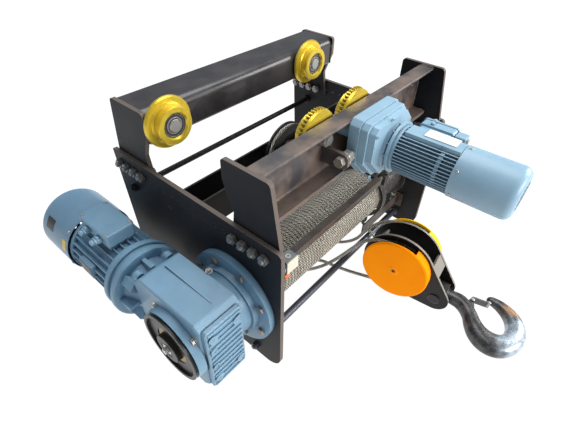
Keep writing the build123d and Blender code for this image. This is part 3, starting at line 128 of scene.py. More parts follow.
def close_ends(bm, rows):
    bm.faces.new(list(reversed(rows[0])))
    bm.faces.new(rows[-1])


def solid_rows(bm, rows):
    join_rows(bm, rows)
    close_ends(bm, rows)


def tube(name, points, radius, material=None, sides=12):
    points = [Vector(p) for p in points]
    bm = bmesh.new()
    uv = bm.loops.layers.uv.new("UVMap")
    along = 0.0
    side = None
    rings, marks = [], []
    for i, point in enumerate(points):
        ahead = points[min(i + 1, len(points) - 1)] - points[max(i - 1, 0)]
        ahead.normalize()
        if side is None:
            side = ahead.orthogonal()
        side = (side - ahead * side.dot(ahead)).normalized()
        other = ahead.cross(side)
        if i:
            along += (point - points[i - 1]).length
        rings.append(ring_of(bm, point, side, other, radius, sides))
        marks.append(along / LAY)
    for i in range(len(rings) - 1):
        for k in range(sides):
            after = (k + 1) % sides
            face = bm.faces.new((rings[i][k], rings[i][after], rings[i + 1][after], rings[i + 1][k]))
            u0, u1 = k / sides, (k + 1) / sides
            corners = ((u0, marks[i]), (u1, marks[i]), (u1, marks[i + 1]), (u0, marks[i + 1]))
            for loop, corner in zip(face.loops, corners):
                loop[uv].uv = corner
    close_ends(bm, rings)
    mesh = bpy.data.meshes.new(name)
    bm.to_mesh(mesh)
    bm.free()
    return link(name, mesh, material, 60.0)


def smooth_route(name, control):
    curve = bpy.data.curves.new(name, "CURVE")
    curve.dimensions = "3D"
    spline = curve.splines.new("NURBS")
    spline.points.add(len(control) - 1)
    for target, point in zip(spline.points, control):
        target.co = (*point, 1.0)
    spline.order_u = 3
    spline.use_endpoint_u = True
    spline.resolution_u = 14
    holder = bpy.data.objects.new(name, curve)
    scene.collection.objects.link(holder)
    mesh = bpy.data.meshes.new_from_object(holder)
    points = [v.co.copy() for v in mesh.vertices]
    bpy.data.objects.remove(holder)
    bpy.data.curves.remove(curve)
    bpy.data.meshes.remove(mesh)
    return points


# the hook block lies turned a little on the floor: its pins point this way, and it reaches out square to
# them
block_turn = math.radians(6.4)
pin_way = Vector((math.cos(block_turn), math.sin(block_turn), 0.0))
reach_way = Vector((math.sin(block_turn), -math.cos(block_turn), 0.0))
print("helpers ready")

# %% [markdown]
# ## Shared surface effects
#
# Each effect is a node group that gives out only values, masks and normals. The shader itself stays in the
# material, with its constants on its own sockets.

# %%


def new_group(name, inputs, outputs):
    tree = bpy.data.node_groups.new(name, "ShaderNodeTree")
    for label, kind, value in inputs:
        socket = tree.interface.new_socket(label, in_out="INPUT", socket_type="NodeSocket" + kind)
        socket.default_value = value
    for label, kind in outputs:
        tree.interface.new_socket(label, in_out="OUTPUT", socket_type="NodeSocket" + kind)
    return tree, tree.nodes.new("NodeGroupInput"), tree.nodes.new("NodeGroupOutput")


def feed(tree, socket, value):
    # a number or colour is set on the socket, and another node's output is linked to it
    if isinstance(value, bpy.types.NodeSocket):
        tree.links.new(value, socket)
    else:
        socket.default_value = value


def math_node(tree, operation, a, b=None, clamp=False):
    node = tree.nodes.new("ShaderNodeMath")
    node.operation = operation
    node.use_clamp = clamp
    for socket, value in zip(node.inputs, (a, b)):
        if value is not None:
            feed(tree, socket, value)
    return node.outputs[0]


def scaled(tree, value, factor):
    return math_node(tree, "MULTIPLY", value, factor)


def parts_of(tree, vector):
    node = tree.nodes.new("ShaderNodeSeparateXYZ")
    tree.links.new(vector, node.inputs[0])
    return node.outputs


def inverse(tree, value):
    return math_node(tree, "SUBTRACT", 1.0, value)


def vector_node(tree, operation, first, second):
    node = tree.nodes.new("ShaderNodeVectorMath")
    node.operation = operation
    feed(tree, node.inputs[0], first)
    feed(tree, node.inputs[1], second)
    return node.outputs


def noise_node(tree, vector, scale, detail=4.0, rough=0.55):
    node = tree.nodes.new("ShaderNodeTexNoise")
    node.inputs["Detail"].default_value = detail
    node.inputs["Roughness"].default_value = rough
    feed(tree, node.inputs["Scale"], scale)
    tree.links.new(vector, node.inputs["Vector"])
    return node.outputs["Fac"]


def bump_node(tree, height, strength, distance):
    node = tree.nodes.new("ShaderNodeBump")
    node.inputs["Distance"].default_value = distance
    feed(tree, node.inputs["Strength"], strength)
    tree.links.new(height, node.inputs["Height"])
    return node.outputs[0]


def smooth_step(tree, value, low, high):
    node = tree.nodes.new("ShaderNodeMapRange")
    node.interpolation_type = "SMOOTHSTEP"
    node.inputs["From Min"].default_value = low
    node.inputs["From Max"].default_value = high
    tree.links.new(value, node.inputs["Value"])
    return node.outputs[0]


def object_position(tree):
    return tree.nodes.new("ShaderNodeTexCoord").outputs["Object"]


# Skin: fine orange peel and a slow unevenness, for paint and castings
skin, given, out = new_group(
    "paint_skin", [("Grain Scale", "Float", 260.0), ("Strength", "Float", 0.2)],
    [("Uneven", "Float"), ("Normal", "Vector")]
)
place = object_position(skin)
slow = noise_node(skin, place, 9.0, 3.0)
fine = noise_node(skin, place, given.outputs["Grain Scale"], 2.0)
skin.links.new(slow, out.inputs["Uneven"])
skin.links.new(bump_node(skin, fine, given.outputs["Strength"], 0.0006), out.inputs["Normal"])

# Wear: masks of the proud edges, of the faces that look up and gather dust, of a plate's cut edge faces,
# which turn away from its normal, and of the crevices, into which shade is painted
wear, given, out = new_group(
    "edges_and_dust",
    [("Plate Normal", "Vector", (1.0, 0.0, 0.0))],
    [("Edges", "Float"), ("Dust", "Float"), ("Cut Face", "Float"), ("Crevice", "Float")],
)
geometry = wear.nodes.new("ShaderNodeNewGeometry")
rounded = wear.nodes.new("ShaderNodeBevel")
rounded.samples = 4
rounded.inputs["Radius"].default_value = 0.0025
agree = vector_node(wear, "DOT_PRODUCT", rounded.outputs[0], geometry.outputs["True Normal"])
patches = noise_node(wear, object_position(wear), 60.0, 5.0, 0.65)
proud = smooth_step(wear, inverse(wear, agree["Value"]), 0.01, 0.12)
broken = smooth_step(wear, patches, 0.35, 0.6)
wear.links.new(math_node(wear, "MULTIPLY", proud, broken), out.inputs["Edges"])
faces_up = smooth_step(wear, parts_of(wear, geometry.outputs["True Normal"])["Z"], 0.5, 1.0)
cloudy = noise_node(wear, object_position(wear), 22.0, 6.0, 0.7)
wear.links.new(
    math_node(wear, "MULTIPLY", faces_up, smooth_step(wear, cloudy, 0.3, 0.8)), out.inputs["Dust"]
)
along_plate = vector_node(
    wear, "DOT_PRODUCT", geometry.outputs["True Normal"], given.outputs["Plate Normal"]
)
square = math_node(wear, "ABSOLUTE", along_plate["Value"])
turned_away = inverse(wear, smooth_step(wear, square, 0.45, 0.8))
wear.links.new(turned_away, out.inputs["Cut Face"])
# painted shade: ambient occlusion marks the crevices, and the materials darken their colour there
shelter = wear.nodes.new("ShaderNodeAmbientOcclusion")
shelter.samples = 6
shelter.inputs["Distance"].default_value = 0.014
open_sky = smooth_step(wear, shelter.outputs["AO"], 0.25, 0.8)
wear.links.new(inverse(wear, open_sky), out.inputs["Crevice"])

# Turned rings: fine grooves round an axis along Y through a centre
rings, given, out = new_group(
    "turned_rings",
    [("Centre", "Vector", (0.0, 0.0, 0.0)), ("Pitch", "Float", 900.0), ("Strength", "Float", 0.3)],
    [("Rings", "Float"), ("Normal", "Vector")],
)
offset = vector_node(rings, "SUBTRACT", object_position(rings), given.outputs["Centre"])
split = parts_of(rings, offset[0])
squares = [math_node(rings, "MULTIPLY", split[a], split[a]) for a in ("X", "Z")]
radius = math_node(rings, "SQRT", math_node(rings, "ADD", *squares))
reach = math_node(rings, "ADD", radius, split["Y"])
line = rings.nodes.new("ShaderNodeCombineXYZ")
rings.links.new(math_node(rings, "MULTIPLY", reach, given.outputs["Pitch"]), line.inputs["X"])
grooves = noise_node(rings, line.outputs[0], 1.0, 3.0, 0.7)
rings.links.new(grooves, out.inputs["Rings"])
rings.links.new(bump_node(rings, grooves, given.outputs["Strength"], 0.0008), out.inputs["Normal"])

# Strands: six twisted strands of fine wires, from the rope's own U and V
strands, given, out = new_group(
    "rope_strands", [("Depth", "Float", 1.0)],
    [("Gap", "Float"), ("Wires", "Float"), ("Normal", "Vector")]
)
uv = strands.nodes.new("ShaderNodeTexCoord")
split = parts_of(strands, uv.outputs["UV"])
twist = math_node(strands, "ADD", split["X"], split["Y"])
strand = math_node(strands, "ABSOLUTE", math_node(strands, "SINE", scaled(strands, twist, 6 * math.pi)))
wire_twist = math_node(
    strands, "SUBTRACT", scaled(strands, split["X"], 26.0), scaled(strands, split["Y"], 9.0)
)
wire = math_node(strands, "ABSOLUTE", math_node(strands, "SINE", scaled(strands, wire_twist, math.pi)))
strands.links.new(smooth_step(strands, strand, 0.12, 0.8), out.inputs["Gap"])
strands.links.new(wire, out.inputs["Wires"])
height = math_node(strands, "ADD", strand, scaled(strands, wire, 0.25))
strands.links.new(bump_node(strands, height, given.outputs["Depth"], 0.003), out.inputs["Normal"])
print("groups", [g.name for g in bpy.data.node_groups])

# %% [markdown]
# ## Materials
#
# `start` opens a material with its shader, and `effect` brings in one of the groups. `blend_colors` mixes
# two colours by a mask, and `stained` lays a colour over another by a share of a mask.

# %%


def start(name, roughness=0.5, metallic=0.0, color=(0.5, 0.5, 0.5), coat=0.0):
    material = bpy.data.materials.new(name)
    material.use_nodes = True
    tree = material.node_tree
    shader = tree.nodes["Principled BSDF"]
    shader.inputs["Base Color"].default_value = (*color, 1.0)
    shader.inputs["Roughness"].default_value = roughness
    shader.inputs["Metallic"].default_value = metallic
    shader.inputs["Coat Weight"].default_value = coat
    return material, tree, shader


def effect(tree, name, **values):
    node = tree.nodes.new("ShaderNodeGroup")
    node.node_tree = bpy.data.node_groups[name]
    for label, value in values.items():
        node.inputs[label.replace("_", " ")].default_value = value
    return node


def blend_colors(tree, mask, first, second):
    node = tree.nodes.new("ShaderNodeMix")
    node.data_type = "RGBA"
    feed(tree, node.inputs["Factor"], mask)
    for label, value in (("A", first), ("B", second)):
        socket = [s for s in node.inputs if s.name == label and s.type == "RGBA"][0]
        feed(tree, socket, (*value, 1.0) if isinstance(value, tuple) else value)
    return [s for s in node.outputs if s.type == "RGBA"][0]


def stained(tree, tone, mask, share, color):
    # the colour laid over the tone where the mask is, by a share
    return blend_colors(tree, scaled(tree, mask, share), tone, color)


def connect_surface(tree, shader, tone, relief):
    tree.links.new(tone, shader.inputs["Base Color"])
    tree.links.new(relief.outputs["Normal"], shader.inputs["Normal"])


def vary_roughness(tree, shader, mask, spread, base):
    tree.links.new(math_node(tree, "ADD", scaled(tree, mask, spread), base), shader.inputs["Roughness"])


def painted(
    name, light, dark, roughness, coat=0.0, dust=0.1, edge=(0.3, 0.3, 0.3), edge_share=0.5,
    grain=260.0, bump=0.2, cut=None, cut_share=0.8, plate=(1.0, 0.0, 0.0), specular=0.5, crevice_shade=0.6,
):
    # paint with a slow unevenness, dust on top, worn edges, painted shade in the crevices and, where cut is
    # given, paler cut faces
    material, tree, shader = start(name, roughness, 0.0, light, coat)
    shader.inputs["Specular IOR Level"].default_value = specular
    surface = effect(tree, "paint_skin", Grain_Scale=grain, Strength=bump)
    marks = effect(tree, "edges_and_dust", Plate_Normal=plate)
    tone = blend_colors(tree, smooth_step(tree, surface.outputs["Uneven"], 0.36, 0.64), dark, light)
    if cut:
        tone = stained(tree, tone, marks.outputs["Cut Face"], cut_share, cut)
    tone = stained(tree, tone, marks.outputs["Dust"], dust, (0.3, 0.29, 0.27))
    tone = stained(tree, tone, marks.outputs["Edges"], edge_share, edge)
    # painted shade: the crevices darken towards a deep tone of the paint
    tone = stained(tree, tone, marks.outputs["Crevice"], crevice_shade, tuple(0.12 * c for c in dark))
    connect_surface(tree, shader, tone, surface)
    vary_roughness(tree, shader, surface.outputs["Uneven"], 0.16, roughness - 0.08)
    return material


unit_blue = painted(
    "unit_blue", (0.195, 0.35, 0.48), (0.172, 0.315, 0.44), 0.42, 0.1, 0.03, (0.5, 0.6, 0.68), 0.35
)
trolley_blue = painted(
    "trolley_blue", (0.275, 0.435, 0.55), (0.25, 0.4, 0.515), 0.42, 0.1, 0.03, (0.55, 0.64, 0.7), 0.35,
)
cowl_blue = painted(
    "cowl_blue", (0.175, 0.31, 0.44), (0.155, 0.28, 0.4), 0.4, 0.15, 0.02, (0.42, 0.52, 0.6), 0.35
)
plate_black = painted(
    "plate_black", (0.009, 0.010, 0.014), (0.004, 0.004, 0.006), 0.5, 0.0, 0.02, (0.2, 0.165, 0.145), 0.6,
    150.0, 0.2, (0.17, 0.135, 0.115), 0.8, (1.0, 0.0, 0.0), 0.22, 0.3,
)
block_black = painted(
    "block_black", (0.012, 0.010, 0.009), (0.004, 0.004, 0.004), 0.42, 0.0, 0.04, (0.4, 0.34, 0.3), 0.7,
    120.0, 0.3, (0.3, 0.27, 0.235), 0.85, tuple(pin_way), 0.3, 0.3,
)
part_black = painted(
    "part_black", (0.011, 0.010, 0.010), (0.005, 0.005, 0.005), 0.5, 0.0, 0.06, (0.14, 0.12, 0.1), 0.5,
    specular=0.3,
)
beam_paint = painted(
    "beam_paint", (0.16, 0.115, 0.092), (0.04, 0.037, 0.042), 0.42, 0.1, 0.06, (0.32, 0.26, 0.22), 0.7,
    120.0, 0.3, crevice_shade=0.5,
)
far_paint = painted(
    "far_paint", (0.036, 0.032, 0.033), (0.018, 0.016, 0.018), 0.34, 0.25, 0.02, (0.22, 0.2, 0.19), 0.4,
    120.0, 0.2, crevice_shade=0.4,
)
bar_brown = painted(
    "bar_brown", (0.07, 0.05, 0.04), (0.03, 0.022, 0.018), 0.5, 0.0, 0.1, (0.28, 0.23, 0.19), 0.6
)
cover_orange = painted(
    "cover_orange", (1.0, 0.3, 0.0), (0.98, 0.27, 0.0), 0.5, 0.0, 0.0, (1.0, 0.5, 0.02), 0.5, 90.0, 0.1,
    specular=0.04, crevice_shade=0.3,
)
cover_yellow = painted(
    "cover_yellow", (1.0, 0.56, 0.0), (0.98, 0.5, 0.0), 0.5, 0.0, 0.0, (1.0, 0.7, 0.05), 0.5, 90.0, 0.1,
    specular=0.12, crevice_shade=0.3,
)
switch_grey = painted(
    "switch_grey", (0.3, 0.33, 0.34), (0.2, 0.23, 0.25), 0.45, 0.0, 0.1, (0.5, 0.5, 0.48), 0.3
)
switch_cream = painted(
    "switch_cream", (0.78, 0.74, 0.6), (0.66, 0.62, 0.5), 0.5, 0.0, 0.05, (0.85, 0.83, 0.75), 0.2
)
lever_orange = painted(
    "lever_orange", (1.0, 0.23, 0.01), (0.85, 0.15, 0.005), 0.35, 0.2, 0.0, (1.0, 0.5, 0.1), 0.3
)
boss_dark = painted(
    "boss_dark", (0.02, 0.018, 0.017), (0.009, 0.008, 0.008), 0.4, 0.0, 0.1, (0.2, 0.17, 0.14), 0.5
)
fan_black = painted(
    "fan_black", (0.016, 0.016, 0.017), (0.007, 0.007, 0.007), 0.55, 0.0, 0.1, (0.06, 0.06, 0.06), 0.4
)
label_yellow = painted(
    "label_yellow", (0.9, 0.62, 0.03), (0.82, 0.55, 0.02), 0.4, 0.1, 0.0, (0.9, 0.7, 0.2), 0.2
)
label_white = painted(
    "label_white", (0.88, 0.88, 0.86), (0.8, 0.8, 0.78), 0.35, 0.1, 0.0, (0.6, 0.6, 0.6), 0.2
)
label_dark = painted(
    "label_dark", (0.03, 0.03, 0.03), (0.02, 0.02, 0.022), 0.4, 0.1, 0.0, (0.15, 0.15, 0.15), 0.2
)

# painted glow: the two block covers are so bright in the photograph that they give out a little light
# of their own, though they are no lamps
for glowing_cover, glow_color in ((cover_orange, (1.0, 0.27, 0.0)), (cover_yellow, (1.0, 0.55, 0.0))):
    glowing_shader = glowing_cover.node_tree.nodes["Principled BSDF"]
    glowing_shader.inputs["Emission Color"].default_value = (*glow_color, 1.0)
    glowing_shader.inputs["Emission Strength"].default_value = 0.2


def metal(name, bright, dim, roughness, rust=(0.16, 0.075, 0.03), rusty=0.15):
    material, tree, shader = start(name, roughness, 0.85, bright)
    surface = effect(tree, "paint_skin", Grain_Scale=320.0, Strength=0.3)
    marks = effect(tree, "edges_and_dust")
    tone = blend_colors(tree, surface.outputs["Uneven"], dim, bright)
    spots = noise_node(tree, object_position(tree), 55.0, 6.0, 0.7)
    mask = scaled(tree, smooth_step(tree, spots, 0.5, 0.72), rusty)
    tone = blend_colors(tree, mask, tone, rust)
    tone = stained(tree, tone, marks.outputs["Edges"], 0.6, (0.7, 0.69, 0.67))
    connect_surface(tree, shader, tone, surface)
    tree.links.new(math_node(tree, "SUBTRACT", 0.8, mask), shader.inputs["Metallic"])
    vary_roughness(tree, shader, spots, 0.25, roughness - 0.12)
    return material


steel = metal("steel", (0.5, 0.49, 0.47), (0.36, 0.35, 0.34), 0.35)
dark_steel = metal(
    "dark_steel", (0.055, 0.052, 0.05), (0.028, 0.026, 0.026), 0.45, (0.05, 0.03, 0.02), 0.25
)
bolt_steel = metal("bolt_steel", (0.36, 0.35, 0.34), (0.13, 0.125, 0.12), 0.34, (0.2, 0.14, 0.06), 0.3)
rod_steel = metal("rod_steel", (0.15, 0.16, 0.19), (0.06, 0.065, 0.08), 0.42, (0.05, 0.035, 0.025), 0.3)
latch_steel = metal("latch_steel", (0.2, 0.19, 0.185), (0.07, 0.065, 0.065), 0.4, (0.09, 0.05, 0.03), 0.35)
zinc = metal("zinc", (0.62, 0.6, 0.54), (0.48, 0.46, 0.41), 0.3, (0.5, 0.38, 0.16), 0.35)
brass = metal("brass", (0.42, 0.3, 0.12), (0.28, 0.19, 0.08), 0.4, (0.1, 0.06, 0.03), 0.3)


def turned(name, centre, bright, dim):
    material, tree, shader = start(name, 0.3, 0.65, bright)
    cuts = effect(tree, "turned_rings", Centre=centre, Pitch=1400.0, Strength=0.25)
    marks = effect(tree, "edges_and_dust")
    spots = noise_node(tree, object_position(tree), 38.0, 5.0, 0.65)
    tone = blend_colors(tree, cuts.outputs["Rings"], dim, bright)
    tone = stained(tree, tone, smooth_step(tree, spots, 0.52, 0.75), 0.35, (0.2, 0.12, 0.04))
    tone = stained(tree, tone, marks.outputs["Edges"], 0.4, (0.98, 0.88, 0.5))
    # painted shade: crevices, such as the gaps between the gear teeth, turn near black
    tone = stained(tree, tone, marks.outputs["Crevice"], 0.9, (0.03, 0.022, 0.008))
    connect_surface(tree, shader, tone, cuts)
    vary_roughness(tree, shader, cuts.outputs["Rings"], 0.25, 0.2)
    return material


def rope_material(name, wires, gaps, roughness):
    material, tree, shader = start(name, roughness, 0.35, wires)
    lines = effect(tree, "rope_strands", Depth=1.0)
    tone = blend_colors(tree, lines.outputs["Wires"], tuple(0.35 * c for c in wires), wires)
    tone = blend_colors(tree, lines.outputs["Gap"], gaps, tone)
    slow = noise_node(tree, object_position(tree), 7.0, 4.0)
    tone = stained(tree, tone, smooth_step(tree, slow, 0.45, 0.7), 0.3, (0.2, 0.17, 0.12))
    connect_surface(tree, shader, tone, lines)
    return material


wire_rope = rope_material("wire_rope", (0.86, 0.8, 0.68), (0.012, 0.011, 0.009), 0.4)
print("materials", len(bpy.data.materials))

# %% [markdown]
# ## The hook's forging
#
# Cold grey-blue steel with a painted highlight that lights the bowl, and a warm rust patch near the tip.

# %%
hook_steel, tree, shader = start("hook_steel", 0.36, 0.6, (0.3, 0.33, 0.37))
surface = effect(tree, "paint_skin", Grain_Scale=170.0, Strength=0.6)
marks = effect(tree, "edges_and_dust")
position = object_position(tree)


def near_point(tree, vector, point, inner, outer):
    # one at the point, falling to nothing at the outer distance
    away = vector_node(tree, "DISTANCE", vector, point)
    return inverse(tree, smooth_step(tree, away["Value"], inner, outer))


stains = noise_node(tree, position, 30.0, 7.0, 0.72)
scale_tone = blend_colors(
    tree, smooth_step(tree, stains, 0.35, 0.7), (0.028, 0.026, 0.027), (0.12, 0.115, 0.115)
)
# painted highlight: a pale blue-grey pool of light in the hook's bowl, broken by the stains
bowl_light_tone = blend_colors(tree, smooth_step(tree, stains, 0.3, 0.6), (0.24, 0.29, 0.34), (0.46, 0.54, 0.61))
bowl_light = near_point(tree, position, (0.122, -0.965, 0.03), 0.06, 0.13)
bowl_light = math_node(tree, "MULTIPLY", bowl_light, math_node(tree, "ADD", scaled(tree, stains, 1.2), 0.35), True)
tone = blend_colors(tree, bowl_light, scale_tone, bowl_light_tone)
rust_mask = near_point(tree, position, (0.243, -0.905, 0.06), 0.012, 0.05)
rust_mask = math_node(
    tree, "MULTIPLY", rust_mask, smooth_step(tree, noise_node(tree, position, 24.0, 5.0), 0.35, 0.6), True
)
tone = stained(tree, tone, rust_mask, 0.85, (0.5, 0.27, 0.12))
tone = stained(tree, tone, marks.outputs["Edges"], 0.5, (0.4, 0.4, 0.4))
connect_surface(tree, shader, tone, surface)
tree.links.new(math_node(tree, "SUBTRACT", 0.38, scaled(tree, rust_mask, 0.3)), shader.inputs["Metallic"])
vary_roughness(tree, shader, stains, 0.35, 0.16)
print("hook steel ready")

# %% [markdown]
# ## Dressing the steel parts
#
# Every part keeps its own shape. It gets its material and a hair-thin bevel that catches light. The hook
# and the ropes get no bevel.

# %%
wheel_rows = {
    "idler_wheel_left": (-0.412, 0.726),
    "idler_wheel_right": (0.298, 0.726),
    "driven_wheel_left": (-0.159, 0.726),
    "driven_wheel_right": (0.045, 0.726),
}
dress = {
    plate_black: "side_plate_left side_plate_right near_brackets far_brackets",
    part_black: "cross_channel drum_bearing tie_rod_far",
    block_black: "block_frame",
    beam_paint: "near_beam",
    far_paint: "far_beam",
    unit_blue: "gear_output_flange gear_housing gear_cover input_bell hoist_motor_body hoist_terminal_box "
    "hoist_terminal_lid",
    trolley_blue: "travel_gear_case travel_gear_cover travel_motor_body travel_terminal_box travel_fan_cowl",
    cowl_blue: "hoist_fan_cowl",
    bar_brown: "limit_bar",
    cover_orange: "block_cover_near",
    cover_yellow: "block_cover_far",
    switch_grey: "limit_switch_left limit_switch_right",
    lever_orange: "switch_lever_left switch_lever_right",
    fan_black: "hoist_fan travel_fan",
    steel: "return_sheave_pin idler_axles driven_axles travel_pinion block_pin",
    latch_steel: "hook_latch",
    bolt_steel: "frame_bolts",
    rod_steel: "tie_rod_near",
    dark_steel: "drum rope_guide return_sheave block_sheave_near block_sheave_far crosshead rope_anchor",
    zinc: "torque_bolt",
    brass: "hollow_shaft_seal",
    hook_steel: "hook",
    wire_rope: "wound_rope rope_turns rope_from_drum rope_to_return_sheave rope_from_return_sheave "
    "rope_to_anchor",
}


def give(name, material):
    nodes[name].data.materials.clear()
    nodes[name].data.materials.append(material)


for material, names in dress.items():
    for name in names.split():
        give(name, material)
for name, (x, z) in wheel_rows.items():
    give(name, turned(name + "_gold", (x, 0.0, z), (0.97, 0.74, 0.06), (0.55, 0.36, 0.025)))
unbevelled = {"hook", *dress[wire_rope].split()}
for name, node in nodes.items():
    if name in unbevelled:
        continue
    bevel = node.modifiers.new("edge", "BEVEL")
    bevel.width = 0.0009
    bevel.segments = 2
    bevel.limit_method = "ANGLE"
    bevel.angle_limit = math.radians(38)
    bevel.use_clamp_overlap = True
print("dressed", len(nodes))

# %% [markdown]
# ## The wire rope
#
# Four free stretches follow smooth routes, and half turns lie on the sheaves. On the drum the rope is one
# long helix, a turn every 16.2 mm.

# %%
ROPE = 0.007
SHEAVE_HEIGHT = 0.145
near_corner = Vector((0.0365, -0.476, 0.0))


def beside_block(across, back, height):
    return near_corner + pin_way * across - reach_way * back + Vector((0, 0, height))


# the two sheaves stand so far across the block, and their ropes leave it at two heights
near_w, far_w = 0.023, 0.157
low, high = 0.0327, 0.2573
routes = {
    "rope_from_drum": [
        (0.2485, -0.2039, 0.0985), (0.2475, -0.2485, 0.072), (0.2425, -0.2935, 0.054),
        beside_block(far_w, 0.095, low), beside_block(far_w, 0, low),
    ],
    "rope_to_return_sheave": [
        beside_block(far_w, 0, high), beside_block(far_w, 0.075, high), (0.176, -0.3155, 0.215),
        (0.168, -0.2655, 0.140), (0.155, -0.2345, 0.072), (0.138, -0.1645, 0.018), (0.118, -0.0905, 0.009),
        (0.080, -0.0195, 0.036), (0.0463, 0.0125, 0.120), (0.0433, 0.0125, 0.330), (0.0433, 0.0125, 0.540),
    ],
    "rope_from_return_sheave": [
        (-0.1433, 0.0125, 0.540), (-0.1433, 0.0125, 0.330), (-0.1403, 0.0075, 0.130),
        (-0.1253, -0.0255, 0.045), (-0.0753, -0.0855, 0.009), (0.0, -0.1505, 0.008),
        (0.010, -0.2165, 0.008), (0.0345, -0.3105, 0.009), beside_block(near_w, 0.060, low),
        beside_block(near_w, 0, low),
    ],
    "rope_to_anchor": [
        beside_block(near_w, 0, high), beside_block(near_w, 0.075, high), (0.044, -0.3285, 0.215),
        (0.030, -0.2805, 0.140), (0.005, -0.2395, 0.074), (-0.045, -0.1905, 0.022),
        (-0.110, -0.1305, 0.008), (-0.180, -0.0655, 0.014), (-0.236, -0.0095, 0.052),
        (-0.250, 0.0125, 0.132), (-0.253, 0.0135, 0.262), (-0.250, 0.0125, 0.3954),
    ],
}
for name, control in routes.items():
    path = smooth_route(name, control)
    piece = tube(name + "_strands", path, ROPE, wire_rope, 12)
    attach(piece, "frame")
    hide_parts(name)

# %%


def half_turn(centre, first, second, radius):
    steps = 40
    angles = [math.pi * i / steps for i in range(steps + 1)]
    return [centre + first * (radius * math.cos(a)) + second * (radius * math.sin(a)) for a in angles]


upright = Vector((0, 0, 1))
turns = [
    ("turn_near", half_turn(beside_block(near_w, 0, SHEAVE_HEIGHT), -upright, reach_way, 0.1123)),
    ("turn_far", half_turn(beside_block(far_w, 0, SHEAVE_HEIGHT), -upright, reach_way, 0.1123)),
    ("turn_return", half_turn(Vector((-0.05, 0.0125, 0.540)), Vector((1, 0, 0)), upright, 0.0933)),
]
for name, path in turns:
    piece = tube(name, path, ROPE, wire_rope, 12)
    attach(piece, "frame")
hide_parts("rope_turns")

drum_y, drum_z = -0.161, 0.2645
first_x, pitch_x, count, winding_radius = -0.4765 + 0.0081, 0.0162, 45, 0.101
points_a_turn = 48
helix = []
for i in range((count - 1) * points_a_turn + 1):
    angle = -TURN * i / points_a_turn - math.pi / 2
    x = first_x + pitch_x * i / points_a_turn
    helix.append((x, drum_y + winding_radius * math.cos(angle), drum_z + winding_radius * math.sin(angle)))
wound = tube("drum_winding", helix, ROPE, wire_rope, 10)
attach(wound, "drum")
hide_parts("wound_rope")
print("helix points", len(helix))

# %% [markdown]
# ## Builders for the small hardware
#
# `lathe` turns a profile round an axis and `prism` pushes an outline along a direction. `plate` is a
# prism with rounded corners, `screw` a hexagon head on its washer, and `weld` a rippled bead. Each result
# rides on the body that carries it. Five short functions give the profiles that come back: a band, a
# ring, a button, a socket head and a barrel.

# %%
LEFT, RIGHT, FRONT, BACK, UP = (-1, 0, 0), (1, 0, 0), (0, -1, 0), (0, 1, 0), (0, 0, 1)


def axes(direction):
    main = Vector(direction).normalized()
    first = main.orthogonal().normalized()
    if abs(main.z) < 0.7:
        first = Vector((0, 0, 1)).cross(main).normalized()
    return main, first, main.cross(first)


def lathe(name, origin, direction, profile, material, body="frame", steps=40, closed=False):
    main, first, second = axes(direction)
    bm = bmesh.new()
    rows = [ring_of(bm, Vector(origin) + main * h, first, second, max(r, 1e-5), steps) for r, h in profile]
    join_rows(bm, rows + rows[:1] if closed else rows)
    bmesh.ops.remove_doubles(bm, verts=bm.verts, dist=2e-5)
    piece = from_bmesh(name, bm, material, 32)
    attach(piece, body)
    return piece


def prism(name, origin, direction, outline, thick, material, body="frame", bevel=0.0006, turn_to=None):
    main, first, second = axes(direction)
    if turn_to:
        first = (Vector(turn_to) - main * Vector(turn_to).dot(main)).normalized()
        second = main.cross(first)
    bm = bmesh.new()
    low_row = [bm.verts.new(Vector(origin) + first * a + second * b) for a, b in outline]
    high_row = [bm.verts.new(v.co + main * thick) for v in low_row]
    solid_rows(bm, (low_row, high_row))
    if bevel:
        bmesh.ops.recalc_face_normals(bm, faces=bm.faces)
        bmesh.ops.bevel(
            bm, geom=list(bm.edges), offset=bevel, segments=2, affect="EDGES", clamp_overlap=True
        )
    piece = from_bmesh(name, bm, material, 40)
    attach(piece, body)
    return piece


def hexagon(flats):
    corner = flats / math.sqrt(3)
    return [
        (corner * math.cos(math.radians(60 * k)), corner * math.sin(math.radians(60 * k)))
        for k in range(6)
    ]


def rounded_box(half_a, half_b, radius):
    steps = 5
    outline = []
    for corner, (sa, sb) in enumerate(((1, 1), (-1, 1), (-1, -1), (1, -1))):
        for k in range(steps + 1):
            a = math.radians(90 * corner + 90 * k / steps)
            x = sa * (half_a - radius) + radius * math.cos(a)
            outline.append((x, sb * (half_b - radius) + radius * math.sin(a)))
    return outline


def plate(name, origin, direction, half_a, half_b, corner, thick, material, bevel=0.0008, along=RIGHT):
    outline = rounded_box(half_a, half_b, corner)
    return prism(name, origin, direction, outline, thick, material, "frame", bevel, along)


def band(inner, outer, low, high):
    return [(inner, low), (outer, low), (outer, high), (inner, high)]


def ring(inner, outer, high):
    return [(inner, 0), (inner, high), (outer, high), (outer, 0)]


def button(radius, side, shoulder, top, crown):
    return [(0, 0), (radius, 0), (radius, side), (shoulder, top), (0, crown)]


def socket_head(radius, side, shoulder, top, socket):
    return button(radius, side, shoulder, top, 0)[:-1] + [
        (socket, top), (socket - 0.0002, 0.002), (0, 0.002)
    ]


def barrel(end, radius, chamfer, length):
    return [(0, 0), (end, 0), (radius, chamfer), (radius, length - chamfer), (end, length), (0, length)]


def screw(name, origin, direction, flats, material):
    main = Vector(direction).normalized()
    washer = 0.0014
    profile = band(flats * 0.3, flats * 0.95, 0, washer)
    lathe(name + "_washer", origin, main, profile, material, steps=24, closed=True)
    prism(
        name, Vector(origin) + main * washer, main, hexagon(flats), flats * 0.55, material, "frame",
        0.0007
    )


